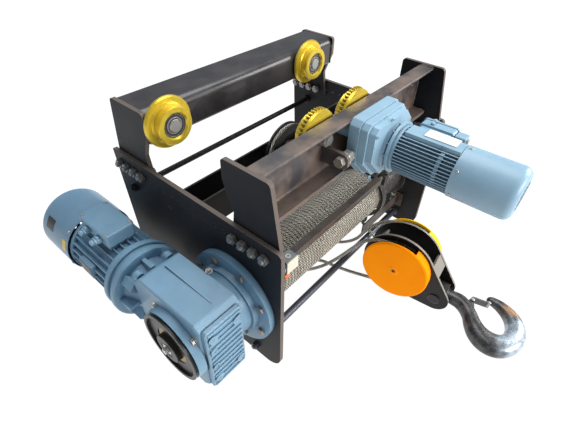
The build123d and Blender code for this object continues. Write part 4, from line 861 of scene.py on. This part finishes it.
def weld(name, start_point, end_point, radius, material):
    # a laid bead: its width swells and shrinks a little with each ripple
    random.seed(name)
    start_point, end_point = Vector(start_point), Vector(end_point)
    run = end_point - start_point
    count_rings = max(8, int(run.length / 0.0028))
    main, first, second = axes(run)
    bm = bmesh.new()
    rows = []
    for i in range(count_rings + 1):
        share = i / count_rings
        size = radius * (0.86 + 0.12 * math.sin(i * 2.1) + random.uniform(-0.05, 0.05))
        if i in (0, count_rings):
            size = radius * 0.3
        rows.append(ring_of(bm, start_point + run * share, first, second, size, 8))
    solid_rows(bm, rows)
    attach(from_bmesh(name, bm, material, 60), "frame")


print("hardware builders ready")

# %% [markdown]
# ## The forged hook
#
# Rounded sections run down the neck, swing out round the open mouth and thin towards the tip. Each
# section is given by its place across the block, its reach from the crosshead, its half width and its
# half depth.

# %%
cross_centre = Vector((0.1453, -0.6384, 0.056))
slope = 0.0546
hook_way = (reach_way * math.sqrt(1 - slope * slope) + Vector((0, 0, -slope))).normalized()
hook_up = hook_way.cross(pin_way).normalized()
if hook_up.z < 0:
    hook_up = -hook_up


def at_hook(across, reach, rise=0.0):
    return cross_centre + pin_way * across + hook_way * reach + hook_up * rise


hook_sections = [
    (0, 41, 23, 23), (2, 66, 27, 27), (0, 92, 29, 28), (-16, 118, 28, 28), (-44, 143, 28, 29),
    (-76, 163, 32, 32), (-103, 188, 38, 34), (-118, 219, 43, 35), (-117, 252, 44, 35),
    (-100, 281, 41, 34.5), (-70, 301, 38, 34), (-34, 308, 36, 33.5), (4, 303, 34, 32), (38, 285, 30, 30),
    (62, 258, 25.5, 26), (76, 229, 21, 22), (81, 206, 18, 18.5), (82, 191, 15, 15.5), (82, 181, 9, 9.5),
    (82, 177.5, 2, 2),
]


def between(a, b, c, d, share):
    # a smooth curve through b and c, the middle two of four neighbours
    return tuple(
        0.5 * (
            2 * q + (r - p) * share + (2 * p - 5 * q + 4 * r - s) * share ** 2
            + (3 * q - p - 3 * r + s) * share ** 3
        )
        for p, q, r, s in zip(a, b, c, d)
    )


fine = []
for i in range(len(hook_sections) - 1):
    four = [hook_sections[max(0, min(len(hook_sections) - 1, i + k))] for k in (-1, 0, 1, 2)]
    for k in range(6):
        fine.append(between(*four, k / 6))
fine.append(hook_sections[-1])
bm = bmesh.new()
rows = []
around = 40
for i, (across, reach, half, deep) in enumerate(fine):
    ahead = Vector(fine[min(i + 1, len(fine) - 1)][:2]) - Vector(fine[max(i - 1, 0)][:2])
    ahead.normalize()
    outward = Vector((-ahead.y, ahead.x))
    row = []
    for k in range(around):
        a = TURN * k / around
        x = math.copysign(abs(math.cos(a)) ** 0.86, math.cos(a)) * half
        z = math.copysign(abs(math.sin(a)) ** 0.86, math.sin(a)) * deep
        row.append(
            bm.verts.new(at_hook((across + outward.x * x) / 1000, (reach + outward.y * x) / 1000, z / 1000))
        )
    rows.append(row)
solid_rows(bm, rows)
forged_hook = from_bmesh("forged_hook", bm, hook_steel, 50)
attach(forged_hook, "hook")
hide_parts("hook")
shank = [
    (0.0, -0.066), (0.0205, -0.066), (0.022, -0.0645), (0.022, 0.0343), (0.031, 0.0343), (0.031, 0.0413),
    (0.0, 0.0413),
]
lathe("hook_shank", cross_centre, hook_way, shank, hook_steel, "hook")
prism("hook_nut", at_hook(0, -0.060), hook_way, hexagon(0.050), 0.024, dark_steel, "hook", 0.0012)
boss = [
    (-0.008, 0.106), (0.026, 0.119), (0.037, 0.124), (0.040, 0.131), (0.036, 0.138), (0.026, 0.139),
    (-0.012, 0.150),
]
prism("latch_boss", at_hook(0, 0, 0.0115), -hook_up, boss, 0.023, hook_steel, "hook", 0.002, tuple(pin_way))
rivet = [
    (0, 0), (0.006, 0), (0.0075, 0.0012), (0.0075, 0.0015), (0.004, 0.0015), (0.004, 0.0355),
    (0.0075, 0.0355), (0.0075, 0.0358), (0.006, 0.037), (0, 0.037),
]
for name, spot, profile, sides in (
    ("latch_rivet", at_hook(0.030, 0.130, -0.0185), rivet, 24),
    ("latch_roll", at_hook(0.0555, 0.190, -0.017), barrel(0.0045, 0.006, 0.0015, 0.034), 20),
):
    lathe(name, spot, hook_up, profile, steel, "hook_latch", sides)
print("hook points", len(fine) * around)

# %% [markdown]
# ## Bearings in the wheels
#
# Every wheel's hub holds a sealed ball bearing: bright rings with a dark seal between them, and a dark
# circlip that keeps it in.

# %%
bearing = [
    (0.0245, 0), (0.0245, 0.0105), (0.0275, 0.0105), (0.0282, 0.0098), (0.0345, 0.0098), (0.0352, 0.0105),
    (0.0385, 0.0105), (0.0392, 0.0098), (0.0392, 0),
]
face_y = 0.159 + 0.018
for name, (x, z) in wheel_rows.items():
    side = -1 if name.startswith("idler") else 1
    origin = Vector((x, -side * face_y, z))
    outward = Vector((0, side, 0))
    for label, lift, profile, material in (
        ("_bearing", 0.0, bearing, steel),
        ("_seal", 0.0098, ring(0.0284, 0.0343, 0.0006), label_dark),
        ("_circlip", 0.0107, ring(0.0362, 0.0396, 0.0012), dark_steel),
    ):
        lathe(name + label, origin + outward * lift, outward, profile, material, name, 48, True)
print("bearings", len(wheel_rows))

# %% [markdown]
# ## Small hardware of the gear unit and the hoist motor
#
# Raised plugs and screws on the ribbed cover, the dark plate round the shaft's end, which is partly
# painted shade, the breather, screws and glands on the terminal box, and plain labels with nothing on them.

# %%
cover_y, boss_x = -0.2951, -0.7676
plug = [(0.0115, 0), (0.0115, 0.0022), (0.0095, 0.003), (0.0078, 0.003), (0.0072, 0.0012), (0, 0.0012)]
for row_index, z in enumerate((0.372, 0.315, 0.235, 0.165)):
    for column, x in enumerate((-0.716, -0.617)):
        if column and row_index in (1, 2):
            continue
        lathe(f"cover_plug_{row_index}_{column}", (x, cover_y, z), FRONT, plug, unit_blue, steps=24)
for k, y in enumerate((-0.075, -0.248)):
    screw(f"breather_{k}", (-0.7416, y, 0.352), LEFT, 0.017, zinc)
screw("top_plug", (-0.582, -0.137, 0.4197), UP, 0.012, bolt_steel)
# eight small plugs behind the dark plate
hole = [(0.0075, 0), (0.0075, 0.0008), (0.006, 0.0012), (0.0052, 0.0004), (0, 0.0004)]
for k in range(8):
    a = math.radians(22.5 + 45 * k)
    spot = (boss_x, drum_y + 0.092 * math.cos(a), drum_z + 0.092 * math.sin(a))
    lathe(f"boss_hole_{k}", spot, LEFT, hole, label_dark, steps=20)
# partly painted shade: the dark plate, hub sleeve and shaft end give the boss's own dark grey, and darken
# its face further as if shaded, since that face turns away from the lights
dish = [
    (0.066, 0.0001), (0.1098, 0.0001), (0.1098, 0.0101), (0.1208, 0.0101), (0.1200, 0.0112),
    (0.1080, 0.0112), (0.1080, 0.0020), (0.066, 0.0020),
]
shaft_end = [
    (0, 0), (0.0488, 0), (0.0488, 0.0012), (0.0475, 0.0024), (0.030, 0.0024), (0.028, 0.0010), (0, 0.0010)
]
for name, x, profile, steps, closed in (
    ("boss_plate", boss_x, dish, 72, True),
    ("hub_sleeve", -0.7840, band(0.0482, 0.0492, -0.0155, 0.0008), 56, True),
    ("shaft_end", -0.7838, shaft_end, 56, False),
):
    lathe(name, (x, drum_y, drum_z), LEFT, profile, boss_dark, "frame", steps, closed)
screw("shaft_end_screw", (-0.7847, drum_y, drum_z), LEFT, 0.020, zinc)
lid_low, lid_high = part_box("hoist_terminal_lid")
inset = 0.011
spots = [
    (x, y) for x in (lid_low[0] + inset, lid_high[0] - inset)
    for y in (lid_low[1] + inset, lid_high[1] - inset)
]
for k, spot in enumerate(spots):
    head = socket_head(0.006, 0.0022, 0.0048, 0.0034, 0.0028)
    lathe(f"lid_screw_{k}", (*spot, lid_high[2]), UP, head, zinc, steps=20)
box_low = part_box("hoist_terminal_box")[0]
cap = [(0, 0), (0.0095, 0), (0.0105, 0.002), (0.0105, 0.009), (0.0085, 0.012), (0, 0.012)]
for k, y in enumerate((0.250, 0.318)):
    spot = Vector((box_low[0], y, box_low[2] + 0.018))
    prism(f"gland_nut_{k}", spot, LEFT, hexagon(0.024), 0.008, unit_blue, "frame", 0.0008)
    lathe(f"gland_cap_{k}", spot + Vector((-0.008, 0, 0)), LEFT, cap, unit_blue, steps=24)


def curved_plate(name, angles, ys, material):
    # a thin label bent round the hoist motor, which lies along Y
    bm = bmesh.new()
    outer = motor_radius + 0.0008
    rows = []
    steps = 14
    for i in range(steps + 1):
        a = math.radians(angles[0] + (angles[1] - angles[0]) * i / steps)
        section = ((motor_radius, ys[0]), (motor_radius, ys[1]), (outer, ys[1]), (outer, ys[0]))
        rows.append(
            [bm.verts.new((motor_x + r * math.cos(a), y, drum_z + r * math.sin(a))) for r, y in section]
        )
    solid_rows(bm, rows)
    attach(from_bmesh(name, bm, material, 30), "frame")


motor_x, motor_radius = -0.6665, 0.1271
curved_plate("yellow_label", (152, 171), (0.413, 0.437), label_yellow)
curved_plate("dark_label", (136, 156), (0.508, 0.556), label_dark)
plate("rating_pad", (-0.7660, 0.279, 0.290), LEFT, 0.038, 0.027, 0.003, 0.0195, unit_blue, along=BACK)
plate("rating_plate", (-0.7856, 0.279, 0.290), LEFT, 0.036, 0.025, 0.003, 0.0012, boss_dark, 0.0003, BACK)
print("gear unit hardware done")

# %% [markdown]
# ## The trolley unit's hardware
#
# A blank white plate on its pad, the stator's core with its thin cooling fins, the fan cowl with rings
# and spokes in its end, cover screws, and the cable entry and studs of the terminal box.

# %%
trolley_x, trolley_z = 0.0525, 0.663
motor_end = Vector((trolley_x, -0.7592, trolley_z))
plate("blank_plate", (0.055, -0.502, 0.7432), UP, 0.0235, 0.0505, 0.003, 0.0022, label_white, 0.0004)
plate("stator_pad", (0.0445, -0.5455, 0.722), UP, 0.029, 0.029, 0.002, 0.0211, trolley_blue, 0.0006)
core = band(0.030, 0.066, 0, 0.0385)
lathe("stator_core", (trolley_x, -0.5355, trolley_z), FRONT, core, trolley_blue, "frame", 64, True)
fins = bmesh.new()
hub = Vector((trolley_x, 0, trolley_z))
fin_places = 44
fin_section = ((0.064, -0.0020), (0.064, 0.0020), (0.0785, 0.0013), (0.0785, -0.0013))
for k in range(fin_places):
    degrees = (k * 360 / fin_places + 180) % 360 - 180
    # none under the pad, and short ones beside the terminal box
    if 72 < degrees < 120:
        continue
    first_y = -0.5045 if -16 < degrees < 46 else -0.392
    a = math.radians(degrees)
    out_way, side_way = Vector((math.cos(a), 0, math.sin(a))), Vector((-math.sin(a), 0, math.cos(a)))
    rows = []
    for y in (first_y, -0.575):
        foot = hub + Vector((0, y, 0))
        rows.append([fins.verts.new(foot + out_way * r + side_way * s) for r, s in fin_section])
    solid_rows(fins, rows)
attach(from_bmesh("stator_fins", fins, trolley_blue), "frame")

# the fan cowl, with rings and spokes in its end
bend = [(math.cos(math.radians(a)), math.sin(math.radians(a))) for a in range(0, 91, 9)]
shell = [(0.080, 0.0), (0.082, 0.0)] + [(0.056 + 0.026 * c, 0.159 + 0.026 * s) for c, s in bend]
shell += [(0.046, 0.185), (0.046, 0.183)] + [
    (0.056 + 0.024 * c, 0.159 + 0.024 * s) for c, s in reversed(bend)
]
cowl = lathe("trolley_cowl", (trolley_x, -0.576, trolley_z), FRONT, shell, trolley_blue, "frame", 72, True)
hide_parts("travel_fan_cowl")
for k, r in enumerate((0.013, 0.0235, 0.034)):
    lathe(
        f"cowl_ring_{k}", motor_end, FRONT, band(r, r + 0.0025, 0, 0.0016), trolley_blue, "frame", 48,
        True
    )
for k in range(3):
    a = math.radians(60 * k)
    spoke_way = (math.cos(a), 0, math.sin(a))
    plate(f"cowl_spoke_{k}", motor_end, FRONT, 0.0465, 0.0016, 0.0005, 0.0014, trolley_blue, 0.0, spoke_way)
for k, (x, z) in enumerate(((-0.070, 0.742), (0.010, 0.770), (-0.078, 0.602))):
    head = socket_head(0.0068, 0.004, 0.0055, 0.0052, 0.0034)
    lathe(f"case_screw_{k}", (x, -0.3521, z), FRONT, head, trolley_blue, steps=20)
box_low, box_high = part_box("travel_terminal_box")
inset = 0.010
spots = [
    (y, z) for z in (box_high[2] - inset, box_low[2] + inset)
    for y in (box_low[1] + inset, box_high[1] - inset)
]
for k, spot in enumerate(spots):
    head = socket_head(0.0062, 0.0025, 0.005, 0.0038, 0.003)
    lathe(f"travel_lid_screw_{k}", (box_high[0], *spot), RIGHT, head, zinc, steps=20)
entry = Vector(((box_low[0] + box_high[0]) / 2, box_low[1] + 0.0005, (box_low[2] + box_high[2]) / 2))
plate("terminal_entry", entry, FRONT, 0.0195, 0.040, 0.006, 0.034, trolley_blue, 0.0012)
for k, z in enumerate((-0.020, 0.020)):
    spot = entry + Vector((0, -0.034, z))
    prism(f"entry_nut_{k}", spot, FRONT, hexagon(0.022), 0.007, zinc, "frame", 0.0008)
stud = button(0.0072, 0.005, 0.0055, 0.007, 0.007)
for k, x in enumerate((0.148, 0.168)):
    lathe(f"travel_box_stud_{k}", (x, -0.430, box_high[2]), UP, stud, trolley_blue, steps=20)


def cowl_screws(name, degrees, axis_x, axis_z, radius, y, profile):
    # button heads round a motor's cowl
    for k, angle in enumerate(degrees):
        across, above = math.cos(math.radians(angle)), math.sin(math.radians(angle))
        spot = (axis_x + radius * across, y, axis_z + radius * above)
        lathe(f"{name}_{k}", spot, (across, 0, above), profile, zinc, steps=16)


small_button = button(0.005, 0.0012, 0.0038, 0.0026, 0.0028)
large_button = button(0.006, 0.0014, 0.0045, 0.003, 0.0032)
cowl_screws("cowl_screw", (30, 90, 150, 210, 330), trolley_x, trolley_z, 0.0822, -0.589, small_button)
cowl_screws(
    "hoist_cowl_screw", (45, 90, 135, 200), motor_x, drum_z, motor_radius + 0.0001, 0.416, large_button
)
print("trolley hardware done")

# %% [markdown]
# ## Limit switches, rods and bars, bolt ends and weld beads
#
# Heads and rollers for the limit switches, the near cover's ring and pin, a sleeve that makes the near
# rod as thick as it looks, an angle on the limit bar, the rope keeper, the near beam's lip and the bolts'
# threaded ends.

# %%
nut_ring = ring(0.0048, 0.0092, 0.0014)
roller = barrel(0.0085, 0.0095, 0.001, 0.022)
for side, x, lever_x in (("left", -0.3815, -0.3955), ("right", 0.3955, 0.3955)):
    plate(
        "switch_head_" + side, (x, -0.2605, 0.3995), FRONT, 0.027, 0.026, 0.003, 0.036, switch_grey, 0.001
    )
    plate("switch_face_" + side, (x, -0.2966, 0.3995), FRONT, 0.0265, 0.0255, 0.003, 0.0035, switch_cream)
    lathe("switch_ring_top_" + side, (x, -0.279, 0.4255), UP, nut_ring, switch_cream, "frame", 28, True)
    lever = "switch_lever_" + side
    lathe("lever_roller_" + side, (lever_x - 0.011, -0.284, 0.350), RIGHT, roller, lever_orange, lever, 32)
    lathe(
        "switch_ring_side_" + side, (x - 0.027, -0.279, 0.400), LEFT, nut_ring, switch_cream, "frame", 28,
        True
    )

cover_face = near_corner + Vector((0, 0, SHEAVE_HEIGHT)) - pin_way * 0.0002
cover_ring = [(0.0085, 0), (0.0085, 0.0006), (0.0210, 0.0006), (0.0225, 0)]
pin_end = [(0, 0), (0.0068, 0), (0.0068, 0.0018), (0.003, 0.0018), (0.0026, 0.0006), (0, 0.0006)]
lathe("near_cover_ring", cover_face, -pin_way, cover_ring, cover_orange, "frame", 40, True)
lathe("near_pin_end", cover_face, -pin_way, pin_end, label_dark, steps=24)

# the near rod is thicker than its solid, and the limit bar carries an angle
sleeve = [(0.0112, 0), (0.0140, 0.001), (0.0140, 0.959), (0.0112, 0.960)]
lathe("rod_sleeve", (-0.480, -0.2485, 0.042), RIGHT, sleeve, rod_steel, "frame", 32, True)
angle_bar = [
    (-0.272, 0.373), (-0.272, 0.399), (-0.244, 0.399), (-0.244, 0.396), (-0.269, 0.396), (-0.269, 0.373)
]
bm = bmesh.new()
ends = [[bm.verts.new((x, y, z)) for y, z in angle_bar] for x in (-0.361, 0.209)]
solid_rows(bm, ends)
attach(from_bmesh("limit_angle", bm, bar_brown), "frame")

# a flat rope keeper on the right plate, in front of the drum's outlet
plate("rope_keeper", (0.335, -0.240, 0.121), FRONT, 0.155, 0.027, 0.004, 0.006, bar_brown)
plate("keeper_foot", (0.4862, -0.243, 0.121), RIGHT, 0.030, 0.036, 0.004, 0.0062, bar_brown, 0.0006, BACK)
for k, z in enumerate((0.100, 0.142)):
    screw(f"keeper_screw_{k}", (0.4860, -0.226, z), LEFT, 0.012, bolt_steel)

# the near beam's lower flange ends in a thick lip, clear of the trolley's gear case
case_low, case_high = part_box("travel_gear_case")
beam_end, gap = 0.4770, 0.004
for k, (x_from, x_to) in enumerate(((-beam_end, case_low[0] - gap), (case_high[0] + gap, beam_end))):
    spot = ((x_from + x_to) / 2, -0.2671, 0.5950)
    plate(f"beam_lip_{k}", spot, FRONT, (x_to - x_from) / 2, 0.0068, 0.002, 0.0058, beam_paint)

# threaded ends that stand out of the frame bolts
thread = [
    (0, 0), (0.0085, 0), (0.0085, 0.0018), (0.0078, 0.0024), (0.0085, 0.0030), (0.0085, 0.0044),
    (0.0078, 0.0050), (0.0085, 0.0056), (0.0085, 0.0072), (0.0070, 0.0088), (0, 0.0088),
]
bolt_ys = (-0.3005, -0.2590, -0.2175, -0.1760, 0.4005, 0.3590, 0.3175, 0.2760)
for side, x, way in (("left", -0.5200, LEFT), ("right", 0.5200, RIGHT)):
    for k, y in enumerate(bolt_ys):
        lathe(f"bolt_end_{side}_{k}", (x, y, 0.5300), way, thread, bolt_steel, steps=20)

# weld beads at both ends of the beams and of the cross channel
beads = (
    ("web", 1, -0.2172, 0.602, -0.2172, 0.763, 0.0036, beam_paint),
    ("low", 1, -0.264, 0.6000, -0.220, 0.6000, 0.0036, beam_paint),
    ("top", 1, -0.264, 0.7738, -0.212, 0.7738, 0.0032, beam_paint),
    ("far", 1, 0.2130, 0.668, 0.2130, 0.748, 0.0034, far_paint),
    ("cross", 1.0305, -0.0375, 0.463, -0.0375, 0.575, 0.0036, part_black),
)
for end, plate_x in (("left", -0.4775), ("right", 0.4775)):
    for label, factor, y_from, z_from, y_to, z_to, radius, material in beads:
        x = plate_x * factor
        weld(f"bead_{label}_{end}", (x, y_from, z_from), (x, y_to, z_to), radius, material)
print("beads", 2 * len(beads))

# %% [markdown]
# ## Floor, light and background
#
# A white floor that keeps only a faint contact shadow, and three broad soft lights: above, to the right,
# and from the front. The background is white to the camera and a dim cool white for reflections.

# %%


def mix_out(tree, output, share, first, second):
    mixer = tree.nodes.new("ShaderNodeMixShader")
    feed(tree, mixer.inputs[0], share)
    tree.links.new(first.outputs[0], mixer.inputs[1])
    tree.links.new(second.outputs[0], mixer.inputs[2])
    tree.links.new(mixer.outputs[0], tree.nodes.new(output).inputs[0])


floor_mesh = bpy.data.meshes.new("floor")
floor_mesh.from_pydata(
    [(-6, -6, -0.0004), (6, -6, -0.0004), (6, 6, -0.0004), (-6, 6, -0.0004)], [], [(0, 1, 2, 3)]
)
floor = bpy.data.objects.new("floor", floor_mesh)
scene.collection.objects.link(floor)
floor_white = bpy.data.materials.new("floor_white")
floor_white.use_nodes = True
tree = floor_white.node_tree
tree.nodes.clear()
matt = tree.nodes.new("ShaderNodeBsdfDiffuse")
matt.inputs["Color"].default_value = (0.9, 0.9, 0.9, 1)
glow = tree.nodes.new("ShaderNodeEmission")
glow.inputs["Strength"].default_value = 1.1
mix_out(tree, "ShaderNodeOutputMaterial", 0.9, matt, glow)
floor_mesh.materials.append(floor_white)

world = bpy.data.worlds.new("studio")
scene.world = world
world.use_nodes = True
tree = world.node_tree
tree.nodes.clear()
lighting = tree.nodes.new("ShaderNodeBackground")
lighting.inputs["Color"].default_value = (0.86, 0.92, 1.0, 1)
lighting.inputs["Strength"].default_value = 0.34
seen = tree.nodes.new("ShaderNodeBackground")
seen.inputs["Color"].default_value = (1, 1, 1, 1)
seen.inputs["Strength"].default_value = 1.0
rays = tree.nodes.new("ShaderNodeLightPath")
mix_out(tree, "ShaderNodeOutputWorld", rays.outputs["Is Camera Ray"], lighting, seen)


def softbox(name, place, target, size, power, color):
    data = bpy.data.lights.new(name, "AREA")
    data.shape = "RECTANGLE"
    data.size, data.size_y = size
    data.energy = power
    data.color = color
    lamp = bpy.data.objects.new(name, data)
    scene.collection.objects.link(lamp)
    away = Vector(place) - Vector(target)
    lamp.matrix_world = Matrix.Translation(place) @ away.to_track_quat("Z", "Y").to_matrix().to_4x4()
    return lamp


softbox("sky_panel", (0.5, 0.2, 3.2), (0, -0.1, 0.3), (2.4, 2.0), 78, (0.95, 0.98, 1.0))
softbox("window_right", (3.0, -2.2, 2.0), (0.1, -0.3, 0.4), (1.6, 1.6), 80, (1.0, 0.99, 0.97))
softbox("front_fill", (0.5, -3.4, 1.4), (-0.1, -0.2, 0.4), (2.2, 1.2), 98, (1.0, 0.99, 0.97))
scene.render.engine = "CYCLES"
print("lights", len(bpy.data.lights))
